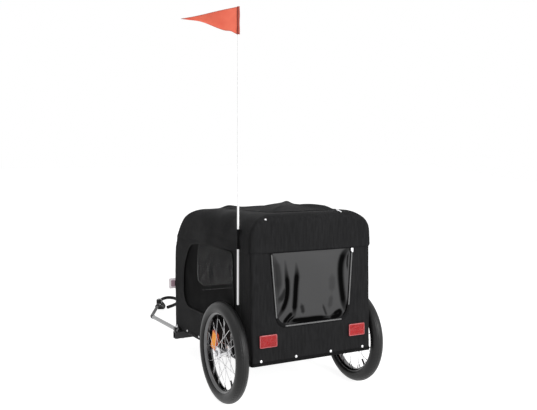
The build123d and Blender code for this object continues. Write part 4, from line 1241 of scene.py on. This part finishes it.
size = (REFLECTOR_W, REFLECTOR_H, REFLECTOR_T)
for side, sign in SIDES:
    x, z = REAR_REFLECTOR
    facing = ((sign * x, CABIN_REAR, z), (-1, 0, 0), (0, 0, 1))
    look = (red_prism, red_rim, "frame", "red_reflector")
    reflector(f"rear_reflector_{side}", facing, size, *look, f"reflector_rear_{side}")
    x, z = FRONT_REFLECTOR
    face_y = CABIN_FRONT - REFLECTOR_PAD_T
    facing = ((sign * x, face_y, z), (1, 0, 0), (0, 0, 1))
    look = (clear_prism, clear_rim, "frame", "white_reflector")
    reflector(f"front_reflector_{side}", facing, size, *look, f"reflector_front_{side}")
    facing = ((sign * (x + 0.004), face_y, z), (-1, 0, 0), (0, 0, 1))
    shape = (0.050, 0.030, 0.0016, 0.004, 0.0006)
    back = slab(f"front_reflector_back_{side}", mauve_back_lit, *facing, *shape)
    pad_x = (x - REFLECTOR_W / 4 + CABIN_HALF_W - COVER_T) / 2
    pad_w = CABIN_HALF_W - COVER_T - x + REFLECTOR_W / 4
    facing = ((sign * pad_x, CABIN_FRONT + 0.001, z), (1, 0, 0), (0, 0, 1))
    shape = (pad_w, REFLECTOR_H / 2, REFLECTOR_PAD_T + 0.001, 0.003, 0.0010)
    pad = slab(f"front_reflector_pad_{side}", black_rubber, *facing, *shape)
    for piece in (back, pad):
        attach(piece, "frame", "white_reflector")

# ---------------------------------------------------------------------------
# Tube frame: black powder-coated steel, square tube under the floor and round tube inside the
# cover, with the bar that carries the tow arm; the floor is a board in black fabric.
def paint_material(name, dark, light, roughness):
    """Powder coat: the fine pebbled skin of baked paint, rubbed a little in places."""
    material, tree, coords = new_material(name)
    pebble = noise_node(tree, coords, 520, 1)
    rubbed = noise_node(tree, coords, 11, 6)
    principled(
        tree,
        base_color=tint(tree, map_value(tree, rubbed, 0.4, 0.68, 0, 1), dark, light),
        roughness=map_value(tree, rubbed, 0.35, 0.7, roughness, roughness + 0.14),
        normal=bump(tree, pebble, 0.0005, 0.4),
        specular_ior_level=0.4,
    )
    return material


def finish(material, *nodes):
    """Gives CAD nodes their material."""
    for node in nodes:
        for material_slot in frame["nodes"][node].material_slots:
            material_slot.material = material


PAINT_BLACK = ((0.0105, 0.0105, 0.0108, 1), (0.0200, 0.0200, 0.0206, 1))
BAR_GREY = ((0.074, 0.074, 0.076, 1), (0.104, 0.104, 0.106, 1))
FLOOR_BLACK = ((0.0100, 0.0100, 0.0104, 1), (0.0190, 0.0190, 0.0196, 1))
frame_paint = paint_material("frame_paint", *PAINT_BLACK, 0.42)
rails = ["base_rail_left", "base_rail_right", "base_cross_front", "base_cross_middle", "base_cross_rear"]
tubes = ["hoop_rear", "hoop_side_left", "hoop_side_right", "roof_bow_front", "roof_bow_rear"]
finish(frame_paint, *rails, *tubes, "tow_bar_spacer_left", "tow_bar_spacer_right")
finish(paint_material("bar_paint", *BAR_GREY, 0.40), "tow_bar")
floor_cloth = cloth_material("floor_cloth", *FLOOR_BLACK, 0.8, 180)
finish(floor_cloth, "floor_panel")


BAR = 0.030
BAR_Y = -0.582
BAR_TOP_Z = HEM_Z + 0.005 - 0.015
RAIL_X = CABIN_HALF_W - 0.0145
HEX, ROUND = True, False
BOLT_RINGS = [
    (0, 0, ROUND), (1.32, 0, ROUND), (1.32, 0.14, ROUND), (1.0, 0.16, HEX), (1.0, 0.72, HEX),
    (0.97 * 0.88, 0.84, ROUND), (0, 0.86, ROUND),
]


def bolt(name, place, out, radius):
    """Hexagon head on its washer: rings of a reach and a lift in radii, six-sided up its flats,
    and round over its washer and in over the chamfer to its top."""
    out, right, up = square_to(out)
    turn = np.linspace(0, 2 * math.pi, 24, endpoint=False)[:, None]
    flats = math.cos(math.pi / 6) / np.cos(np.mod(turn, math.pi / 3) - math.pi / 6)
    ring = right * np.cos(turn) + up * np.sin(turn)
    rows = []
    for reach, lift, shape in BOLT_RINGS:
        span = radius * reach * (flats if shape == HEX else 1.0)
        rows.append(np.asarray(place) + span * ring + radius * lift * out)
    piece = solid(name, np.stack(rows), zinc_material, sharp=True)
    attach(piece, "frame", "zinc_steel")


for side, sign in SIDES:
    place = (sign * (RAIL_X - 0.0025), BAR_Y, BAR_TOP_Z - BAR)
    bolt(f"bar_bolt_{side}", place, (0, 0, -1), 0.0062)

# ---------------------------------------------------------------------------
# Tyres: black rubber on sixteen-inch rims, a low tread of grooves and cross cuts on the crown,
# fine moulded rings round each side wall.
TYRE_R = 0.026
TYRE_MID_R = WHEEL_R - TYRE_R
TYRE_STEPS = 300
TYRE_SEAT = [
    (0.1578, 0.0186), (0.1592, 0.0168), (0.1600, 0.0100), (0.1602, 0.0),
    (0.1600, -0.0100), (0.1592, -0.0168), (0.1578, -0.0186),
]
TYRE_BLACK = ((0.0130, 0.0130, 0.0133, 1), (0.0185, 0.0185, 0.0189, 1))


def turned(sign, radius, offset, steps):
    """A profile carried round the axle: radius and offset outward along it, for each step."""
    turn = np.linspace(0, 2 * math.pi, steps, endpoint=False)[:, None]
    return xyz(sign * (WHEEL_X + offset), radius * np.cos(turn), WHEEL_R + radius * np.sin(turn))


def tyre_points(sign):
    """Round section with its bead turned in to the rim. The tread sinks along three grooves and
    along slanted cuts on both shoulders; the side walls carry two thin raised rings."""
    around = np.linspace(0, 2 * math.pi, TYRE_STEPS, endpoint=False)[:, None]
    spans = ((-128, -52, 22), (-50, 50, 46), (52, 128, 22))
    phi = np.radians(np.concatenate([np.linspace(*span) for span in spans]))
    wide = TYRE_R * np.sin(phi)
    groove = sum(np.exp(-(((wide - at) / 0.0011) ** 2)) for at in (-0.0095, 0.0, 0.0095))
    reach = np.abs(wide)
    cut_zone = np.clip((reach - 0.0105) / 0.001, 0, 1) * np.clip((0.0205 - reach) / 0.002, 0, 1)
    cuts = np.clip(np.cos(75 * around + 260 * reach) * 3 - 1.6, 0, 1)
    rings = sum(np.exp(-(((np.abs(phi) - at) / 0.022) ** 2)) for at in (1.38, 1.92))
    depth = TYRE_R - 0.0009 * groove - 0.0008 * cut_zone * cuts + 0.0004 * rings
    radius = TYRE_MID_R + depth * np.cos(phi)
    offset = depth * np.sin(phi)
    seat = np.broadcast_to(TYRE_SEAT, (TYRE_STEPS, len(TYRE_SEAT), 2))
    radius = np.concatenate([radius, seat[..., 0]], axis=1)
    offset = np.concatenate([offset, seat[..., 1]], axis=1)
    return turned(sign, radius, offset, TYRE_STEPS)


tyre_rubber, tree, coords = new_material("tyre_rubber")
dust = noise_node(tree, coords, 16, 5)
pores = noise_node(tree, coords, 460, 2)
principled(
    tree,
    base_color=tint(tree, map_value(tree, dust, 0.35, 0.68, 0, 1), *TYRE_BLACK),
    roughness=map_value(tree, dust, 0.3, 0.7, 0.33, 0.44),
    normal=bump(tree, pores, 0.0003, 0.35),
    specular_ior_level=0.27,
)
for side, sign in SIDES:
    tyre = solid(f"tyre_rubber_{side}", tyre_points(sign), tyre_rubber, round_rows=True)
    attach(tyre, f"wheel_{side}", "tyre", f"tyre_{side}")

# ---------------------------------------------------------------------------
# Rims: rolled steel, black nickel plated, a round lip under the tyre and a hollow well inside.
rim_steel, tree, coords = new_material("rim_plated_steel")
haze = noise_node(tree, coords, 30, 4)
peel = noise_node(tree, coords, 240, 1)
principled(
    tree,
    metallic=1.0,
    base_color=tint(tree, haze, (0.095, 0.095, 0.097, 1), (0.150, 0.150, 0.152, 1)),
    roughness=map_value(tree, haze, 0.3, 0.7, 0.14, 0.24),
    normal=bump(tree, peel, 0.0004, 0.2),
)
RIM_HALF = [
    (0.1596, 0.0150), (0.1600, 0.0164), (0.1594, 0.0174), (0.1580, 0.0176), (0.1562, 0.0170),
    (0.1545, 0.0163), (0.1525, 0.0155), (0.1505, 0.0140), (0.1485, 0.0118), (0.1470, 0.0094),
    (0.1463, 0.0070), (0.1460, 0.0040),
]
RIM_WELL = [(0.1585, -0.0130), (0.1550, -0.0085), (0.1545, 0.0), (0.1550, 0.0085), (0.1585, 0.0130)]


def both_halves(half):
    """Profile of radius and offset pairs with its mirror image after it."""
    half = np.array(half)
    return np.concatenate([half, half[::-1] * (1, -1)])


rim_profile = np.concatenate([both_halves(RIM_HALF), RIM_WELL])
for side, sign in SIDES:
    rim_points = turned(sign, *rim_profile.T, 200)
    rim = solid(f"rim_{side}_rolled", rim_points, rim_steel, round_rows=True)
    attach(rim, f"wheel_{side}", "rim_paint", f"rim_{side}")

# ---------------------------------------------------------------------------
# Spokes and hubs: 28 bright steel spokes a wheel, crossing, each bent into its hub flange and
# held at the rim by a black nipple; the hub is turned aluminium on a steel axle.
SPOKES = 28
SPOKE_TURN = math.radians(62.0)
SPOKE_HUB_R, SPOKE_RIM_R = 0.0242, 0.1456
FLANGE_OFFSET, RIM_OFFSET, CROSS_OFFSET = 0.022, 0.005, 0.0015
spoke_steel, tree, coords = new_material("spoke_steel")
drawn = noise_node(tree, coords, 90, 3)
principled(
    tree,
    metallic=1.0,
    base_color=tint(tree, drawn, (0.50, 0.50, 0.51, 1), (0.78, 0.78, 0.79, 1)),
    roughness=map_value(tree, drawn, 0.3, 0.7, 0.20, 0.34),
)
hub_metal, tree, coords = new_material("turned_aluminium")
turning = noise_node(tree, coords, 420, 2, (1, 0.05, 0.05))
principled(
    tree,
    metallic=1.0,
    base_color=tint(tree, turning, (0.58, 0.58, 0.59, 1), (0.84, 0.84, 0.85, 1)),
    roughness=map_value(tree, turning, 0.2, 0.8, 0.24, 0.42),
    normal=bump(tree, turning, 0.0002, 0.3),
)


def at_wheel(sign, radius, angle, offset):
    """Level points from a radius and an angle round the axle and an offset outward; the angle
    runs the way in which the spokes are laced on that side."""
    z = WHEEL_R - sign * radius * np.cos(angle)
    return xyz(sign * (WHEEL_X + offset), radius * np.sin(angle), z)


def spoke_ends(sign):
    """Hub ends and rim ends of the spokes, as the wheels are laced."""
    i = np.arange(SPOKES)
    face = np.where(i % 2, 1, -1)
    lead = np.where((i // 2) % 2, 1, -1)
    cross = lead * CROSS_OFFSET
    rim_angle = 2 * math.pi / SPOKES * i
    hub_angle = rim_angle + lead * SPOKE_TURN
    hub = at_wheel(sign, SPOKE_HUB_R, hub_angle, face * FLANGE_OFFSET + cross)
    return hub, at_wheel(sign, SPOKE_RIM_R, rim_angle, face * RIM_OFFSET + cross)


def many_pegs(name, starts, ways, profile, material, sides=8):
    """Many small turned pegs in one mesh: at each start a profile of (along, radius) is carried
    round the peg's own direction."""
    ways = unit(ways)[:, None]
    right = unit(np.cross(ways, (0.3, 0.2, 1.0)))
    up = np.cross(ways, right)
    turn = np.linspace(0, 2 * math.pi, sides, endpoint=False)[:, None]
    ring = right * np.cos(turn) + up * np.sin(turn)
    along, radius = np.asarray(profile, float).T[:, :, None, None]
    points = starts[:, None, None] + along * ways[:, None] + radius * ring[:, None]
    faces = grid_faces(len(along), sides, round_columns=True)
    if not faces_out(points[0], False):
        faces = faces[:, ::-1]
    shift = (np.arange(len(starts)) * len(along) * sides)[:, None, None]
    return smooth_mesh(name, points.reshape(-1, 3), (faces[None] + shift).reshape(-1, 4), material)


NIPPLE = [
    (-0.002, 0.0), (-0.002, 0.0027), (0.001, 0.0027), (0.002, 0.0019), (0.012, 0.0017),
    (0.0135, 0.0012), (0.0136, 0.0),
]
SPOKE_HEAD = [
    (-0.0052, 0.0), (-0.0050, 0.0014), (-0.0040, 0.0018), (-0.0032, 0.0018), (-0.0028, 0.0010),
    (0.0004, 0.0010), (0.0005, 0.0),
]
HUB_HALF = [
    (0.00605, 0.0270), (0.0118, 0.0270), (0.0126, 0.0264), (0.0130, 0.0240), (0.0150, 0.0234),
    (0.0222, 0.0232), (0.0230, 0.0226), (0.0230, 0.0214), (0.0222, 0.0208), (0.0160, 0.0204),
    (0.0136, 0.0190), (0.0124, 0.0150), (0.0120, 0.0060),
]
SEAL = [(0.0064, 0.0268), (0.0064, 0.0276), (0.0100, 0.0277), (0.0112, 0.0272), (0.0113, 0.0268)]
hub_profile, seal = both_halves(HUB_HALF), np.array(SEAL)
for side, sign in SIDES:
    body = f"wheel_{side}"
    hub_ends, rim_ends = spoke_ends(sign)
    nipples = many_pegs(f"nipples_{side}", rim_ends, hub_ends - rim_ends, NIPPLE, black_metal)
    heads = many_pegs(f"spoke_heads_{side}", hub_ends, rim_ends - hub_ends, SPOKE_HEAD, spoke_steel)
    hub_points, seal_points = turned(sign, *hub_profile.T, 64), turned(sign, *seal.T, 48)
    hub = solid(f"hub_{side}_turned", hub_points, hub_metal, round_rows=True)
    outer_seal = solid(f"hub_seal_{side}", seal_points, black_rubber, round_rows=True)
    attach(nipples, body, "black_steel")
    attach(heads, body, "wheel_steel")
    attach(hub, body, "wheel_steel", f"hub_{side}")
    attach(outer_seal, body, "wheel_steel")
finish(spoke_steel, "spokes_left", "spokes_right")
finish(zinc_material, "axle_left", "axle_right")

# ---------------------------------------------------------------------------
# Valves and wheel reflectors: a rubber valve through each rim, and an amber reflector clipped
# between the spokes of each wheel.
VALVE_ANGLE = {"left": math.radians(34.5), "right": math.radians(143.7)}
VALVE = [
    (0.0, 0.0), (0.0, 0.0050), (0.003, 0.0046), (0.016, 0.0036), (0.0165, 0.0030), (0.018, 0.0040),
    (0.0290, 0.0038), (0.0300, 0.0028), (0.0301, 0.0),
]
VALVE_FOOT_R = 0.147
CLIP_ANGLE = {"left": math.radians(249.8), "right": math.radians(290.2)}
CLIP_R = 0.0870
CLIP_SIZE = (0.045, 0.076, 0.0060)
# The wheel reflectors glow: painted light on their amber faces and bodies. The bodies' darker red is
# painted shade on the reflectors' side edges.
AMBER = ((0.84, 0.380, 0.026, 1), (0.94, 0.510, 0.060, 1))
AMBER_BODY_SHADE = ((0.72, 0.090, 0.030, 1), (0.80, 0.150, 0.070, 1))
amber_face = plastic_material("amber_prisms", *AMBER, 0.2, 0.5, 0.4, 0.35)
amber_body = plastic_material("amber_body", *AMBER_BODY_SHADE, 0.25, 0.5, 0.4, 0.25)
for side, sign in SIDES:
    body = f"wheel_{side}"
    angle = np.array([VALVE_ANGLE[side]])
    foot, inner = (at_wheel(sign, radius, angle, 0.0) for radius in (VALVE_FOOT_R, 0.1))
    valve = many_pegs(f"valve_{side}", foot, inner - foot, VALVE, black_rubber, sides=16)
    attach(valve, body, "tyre")
    outer, middle = (at_wheel(sign, radius, CLIP_ANGLE[side], 0.0) for radius in (0.1, CLIP_R))
    radial, outward = unit(outer - middle), np.array([sign, 0, 0])
    for face, way, right in (("outer", outward, radial), ("inner", -outward, -radial)):
        facing = (middle, right, np.cross(way, right))
        look = (amber_face, amber_body, body, "red_reflector")
        reflector(f"wheel_reflector_{face}_{side}", facing, CLIP_SIZE, *look)

# ---------------------------------------------------------------------------
# Flag: a white fibreglass pole held against the cabin's left side by a sleeve on the roof
# cover, with a coral pennant of thin nylon whose hem slides over the pole's top.
POLE_R = 0.004
POLE_X = CABIN_HALF_W + COVER_T + 0.001 + POLE_R
POLE_FOOT_Z = HEM_Z + 0.223
POLE_FOOT_Y = 0.080
POLE_LEAN = 0.0355
POLE_L = 1.130
POLE_TOP_Z = POLE_FOOT_Z + POLE_L / math.hypot(1, POLE_LEAN)
SLEEVE_LOW_Z = HEM_Z + 0.440
SLEEVE_TOP_Z = HEM_Z + 0.517
SLEEVE_T = 0.0010
SLEEVE_FLAT_W = 0.046
FLAG_HOIST = 0.103
FLAG_L = 0.213
FLAG_TURN = math.radians(25.5)
POLE_WHITE = ((0.90, 0.90, 0.90, 1), (0.96, 0.96, 0.96, 1))
# Painted light: a glow that keeps the white pole bright beyond what the lamps give it.
fibreglass = plastic_material("white_fibreglass", *POLE_WHITE, 0.32, painted_glow=0.4)
finish(fibreglass, "flag_pole")


def pole_y(z):
    """Where the pole's middle stands at a height."""
    return POLE_FOOT_Y + POLE_LEAN * (z - POLE_FOOT_Z)


def sleeve_points():
    """Sleeve: flat tabs against the roof's side, and between them a round that hugs the pole;
    it gathers a little between its ends."""
    v = np.linspace(0, 1, 28)[:, None]
    s = np.linspace(-1, 1, 44)[None, :]
    z = SLEEVE_LOW_Z + (SLEEVE_TOP_Z - SLEEVE_LOW_Z) * v
    across = 0.0165 * s * (1 - 0.06 * np.sin(math.pi * v))
    base = CABIN_HALF_W + COVER_T + 0.0010
    hug = POLE_R + 0.0012
    bulge = POLE_X + np.sqrt(np.maximum(hug**2 - across**2, 0))
    round_part = np.where(np.abs(across) < hug, bulge, base)
    flank = base + (POLE_X - base) * np.clip(1 - (np.abs(across) - hug * 0.9) / 0.004, 0, 1) ** 2
    gather = 0.0004 * np.sin(9 * v + 4 * s) * np.clip(1 - np.abs(s), 0, 1)
    return xyz(np.maximum(round_part, flank) + gather, pole_y(z) + across, z)


sleeve = surface("pole_sleeve_cloth", sleeve_points(), binding)
thicken(sleeve, SLEEVE_T)
attach(sleeve, "frame", "cover_cloth", "pole_sleeve")
size = (SLEEVE_FLAT_W, SLEEVE_TOP_Z - SLEEVE_LOW_Z)


def flag_points(u, v):
    """Pennant: a triangle from its hoist to its tip, hanging out to the left, u from nothing at
    the hoist to one at the tip, v from minus one at its foot to one at its top. It waves sideways
    along its length, and its lower edge curls up and out, most two thirds of the way out."""
    mid_z = POLE_TOP_Z - FLAG_HOIST / 2
    half = (FLAG_HOIST / 2 - 0.0006) * (1 - u) + 0.0004
    curl = np.exp(-(((u - 0.66) / 0.26) ** 2)) + 0.45 * np.exp(-(((u - 0.13) / 0.07) ** 2))
    low = np.clip(-v, 0, 1) ** 1.5
    z = mid_z + 0.004 * u * (1 - u) + 0.007 * u**2 + v * half + 0.0095 * curl * low
    side = 0.0075 * np.sin(2 * math.pi * (0.95 * u + 0.06 * v)) * u**0.7 + 0.006 * curl * low
    way = np.array([math.cos(FLAG_TURN), -math.sin(FLAG_TURN)])
    normal = np.array([math.sin(FLAG_TURN), math.cos(FLAG_TURN)])
    x = POLE_X + 0.002 + FLAG_L * u * way[0] + side * normal[0]
    y = pole_y(z) + FLAG_L * u * way[1] + side * normal[1]
    return xyz(x, y, z)


def nylon_material(name, dark, light, edge, fade_from):
    """Thin nylon: fine crossed threads, a soft sheen and a doubled, darker edge. The UV map's
    second value gives the edge's share: none at fade_from, all of it at one."""
    material, tree, coords = new_material(name)
    split = new_node(tree, "SeparateXYZ", {0: new_node(tree, "TexCoord").outputs["UV"]})
    cloud = noise_node(tree, coords, 18, 3)
    plain = tint(tree, map_value(tree, cloud, 0.35, 0.65, 0, 1), dark, light)
    hemmed = map_value(tree, split.outputs["Y"], fade_from, 1.0, 0, 1)
    principled(
        tree,
        base_color=tint(tree, hemmed, plain, edge),
        normal=bump(tree, woven(tree, 420)["Height"], 0.0004, 0.3),
        roughness=map_value(tree, cloud, 0.3, 0.7, 0.48, 0.58),
        specular_ior_level=0.3,
        sheen_weight=0.15,
    )
    return material


FLAG_DARK = (0.900, 0.150, 0.088, 1)
FLAG_LIGHT = (0.985, 0.205, 0.124, 1)
FLAG_EDGE = (0.360, 0.100, 0.075, 1)
FLAG_HEM = (0.420, 0.075, 0.052, 1)
flag_nylon = nylon_material("coral_nylon", FLAG_DARK, FLAG_LIGHT, FLAG_EDGE, 0.0)
u = np.linspace(0, 1, 90)[None, :]
v = np.linspace(-1, 1, 40)[:, None]
flag_grid = flag_points(u, v)
edge_gap = (1 - np.abs(v)) * (FLAG_HOIST / 2) * (1 - u)
hem_shade = np.clip(1 - edge_gap / 0.0030, 0, 1)
uv = np.stack(np.broadcast_arrays(u, hem_shade), axis=-1)
flag = surface("pennant", flag_grid, flag_nylon, uv=uv)
attach(flag, "frame", "flag_cloth", "flag")
z = np.linspace(POLE_TOP_Z - FLAG_HOIST, POLE_TOP_Z + 0.0004, 30)
path = xyz(POLE_X, pole_y(z), z)
hem_girth = 0.0052 + 0.0005 * np.sin(np.linspace(0, 11, 30))
hem_nylon = nylon_material("pennant_hem", FLAG_DARK, FLAG_DARK, FLAG_HEM, -9.0)
pennant_hem = tube_piece("pennant_hem", path, hem_girth, (0, 1, 0), hem_nylon, sides=16)
attach(pennant_hem, "frame", "flag_cloth")

# ---------------------------------------------------------------------------
# Tow arm: a bright steel tube clamped over the end of the bar, with a bent front tube that carries the
# clevis, its pin and the tongue that fits the bracket on a bicycle. The front tube's dark paint is painted
# shade, for the tube seen end-on from behind.
arm_steel, tree, coords = new_material("arm_steel")
drawn = noise_node(tree, coords, 60, 4, (1, 0.03, 1))
principled(
    tree,
    base_color=tint(tree, drawn, (0.24, 0.24, 0.245, 1), (0.42, 0.42, 0.425, 1)),
    roughness=map_value(tree, drawn, 0.3, 0.7, 0.24, 0.38),
    normal=bump(tree, drawn, 0.0003, 0.2),
    metallic=0.75,
)
finish(arm_steel, "tow_arm")
DARK_STEEL_AND_SHADE = ((0.014, 0.014, 0.015, 1), (0.032, 0.032, 0.034, 1))
dark_steel = paint_material("dark_steel", *DARK_STEEL_AND_SHADE, 0.42)
# Painted shade: the bent front tube gets the dark paint for the shade it shows end-on from behind; on the
# coupler the same paint is its own dark colour.
finish(dark_steel, "tow_arm_front")
finish(black_metal, "tow_arm_clamp", "clevis")
finish(black_rubber, "strap_keeper")
finish(zinc_material, "hitch_pin")
finish(dark_steel, "coupler")

ARM_R = 0.0095
ARM_X = CABIN_HALF_W + 0.0015 + ARM_R
ARM_Z = BAR_TOP_Z + ARM_R
ARM_REAR_Y = -0.556
ARM_SPLIT_Y = -0.938
ARM_BEND_Y = -0.949
HITCH = np.array([0.134, -1.262, ARM_Z])
CLEVIS_HALF_W = 0.0085
hitch_turn = math.atan2(ARM_X - HITCH[0], ARM_BEND_Y - HITCH[1])
forward = np.array([-math.sin(hitch_turn), -math.cos(hitch_turn), 0.0])
sideways = np.array([math.cos(hitch_turn), -math.sin(hitch_turn), 0.0])
PLUG = [
    (-0.004, 0.0), (-0.004, 0.0070), (0.0, 0.0072), (0.0002, 0.0096), (0.0016, 0.0094),
    (0.0026, 0.0075), (0.0028, 0.0),
]
place, way = np.array([[ARM_X, ARM_REAR_Y, ARM_Z]]), np.array([[0, 1.0, 0]])
plug = many_pegs("arm_end_plug", place, way, PLUG, black_rubber, sides=32)
path = xyz(ARM_X, np.linspace(ARM_SPLIT_Y - 0.001, ARM_SPLIT_Y + 0.016, 10), ARM_Z)
collar = tube_piece("arm_collar", path, ARM_R + 0.0012, (0, 0, 1), black_metal, sides=32)
for piece in (plug, collar):
    attach(piece, "frame", "arm_metal")
bolt("clamp_bolt", (ARM_X, BAR_Y, ARM_Z + ARM_R + 0.003), (0, 0, 1), 0.0060)
bolt("clamp_nut", (ARM_X, BAR_Y, BAR_TOP_Z - BAR), (0, 0, -1), 0.0060)
lever = HITCH - forward * 0.030
stud("clevis_rivet_left", lever + sideways * CLEVIS_HALF_W, sideways, 0.0040)
stud("clevis_rivet_right", lever - sideways * CLEVIS_HALF_W, -sideways, 0.0040)

# ---------------------------------------------------------------------------
# Safety strap: a limp tube of woven black webbing, sewn into the keeper on the arm. Its loop
# lies on the floor, round the hitch and back, and ends in a cut and sealed end.
STRAP_R = 0.0088
STRAP_FLOOR_Z = 0.0090
STRAP_SEAL = 0.86
STRAP_FALL = [
    (0.078303, -0.620809, 0.030523), (0.06992, -0.63830, 0.02850), (0.052, -0.659, 0.0155),
    (0.0415, -0.682, 0.0105),
]
STRAP_ROUTE = [
    (0.030, -0.706), (0.022, -0.738), (0.020, -0.772), (0.017, -0.806), (0.002, -0.836),
    (-0.022, -0.857), (-0.050, -0.866), (-0.074, -0.852), (-0.086, -0.826), (-0.084, -0.792),
    (-0.074, -0.760), (-0.056, -0.732), (-0.032, -0.711), (-0.008, -0.695), (0.018, -0.680),
]
route = STRAP_FALL + [(x, y, STRAP_FLOOR_Z) for x, y in STRAP_ROUTE]
line_data = bpy.data.curves.new("strap_line", "CURVE")
line_data.dimensions = "3D"
line_data.resolution_u = 16
strap_line = line_data.splines.new("NURBS")
strap_line.points.add(len(route) - 1)
strap_line.points.foreach_set("co", np.column_stack([route, np.ones(len(route))]).ravel())
strap_line.order_u = 3
strap_line.use_endpoint_u = True
line_object = bpy.data.objects.new("strap_line", line_data)
line_mesh = bpy.data.meshes.new_from_object(line_object)
strap_path = np.empty(len(line_mesh.vertices) * 3)
line_mesh.vertices.foreach_get("co", strap_path)
strap_path = strap_path.reshape(-1, 3)
bpy.data.objects.remove(line_object)
bpy.data.meshes.remove(line_mesh)
steps = np.linalg.norm(np.diff(strap_path, axis=0), axis=1)
strap_length = float(steps.sum())


def level(points):
    """Parked points turned back to where they are on the level trailer."""
    c, s = math.cos(PARK_TILT), math.sin(PARK_TILT)
    x, y, z = np.moveaxis(np.asarray(points, float) - AXLE, -1, 0)
    return np.stack([x, c * y + s * z, c * z - s * y], axis=-1) + (0, 0, WHEEL_R)


webbing, tree, coords = new_material("strap_webbing", "UV")
threads = []
for lean in (0.9, -0.9):
    slanted = new_node(tree, "Mapping", {"Vector": coords, "Rotation": (0, 0, lean)}).outputs[0]
    threads.append(wave_node(tree, slanted, 130, "X"))
crossed = math_node(tree, "MAXIMUM", *threads)
principled(
    tree,
    base_color=tint(tree, crossed, (0.0030, 0.0030, 0.0031, 1), (0.0085, 0.0085, 0.0088, 1)),
    normal=bump(tree, crossed, 0.0006, 0.6),
    roughness=map_value(tree, crossed, 0, 1, 0.75, 0.6),
    specular_ior_level=0.2,
)
strap_skin = tube(strap_path, STRAP_R, (0.05, 0.02, 1.0), sides=28)
start, end = middle_row(strap_skin, 0), middle_row(strap_skin, -1)
sealed = end + STRAP_SEAL * (strap_skin[-1:] - end) + (strap_path[-1] - strap_path[-2]) * 0.02
strap_skin = np.concatenate([start, strap_skin, sealed, end])
along = np.concatenate([[0, 0], np.cumsum(steps), [strap_length, strap_length]])
round_it = np.linspace(0, 2 * math.pi * STRAP_R, 28)
uv = np.stack(np.broadcast_arrays(along[:, None], round_it[None]), axis=-1)
strap = solid("safety_strap_webbing", level(strap_skin), webbing, uv=uv)
attach(strap, "frame", "webbing", "safety_strap")
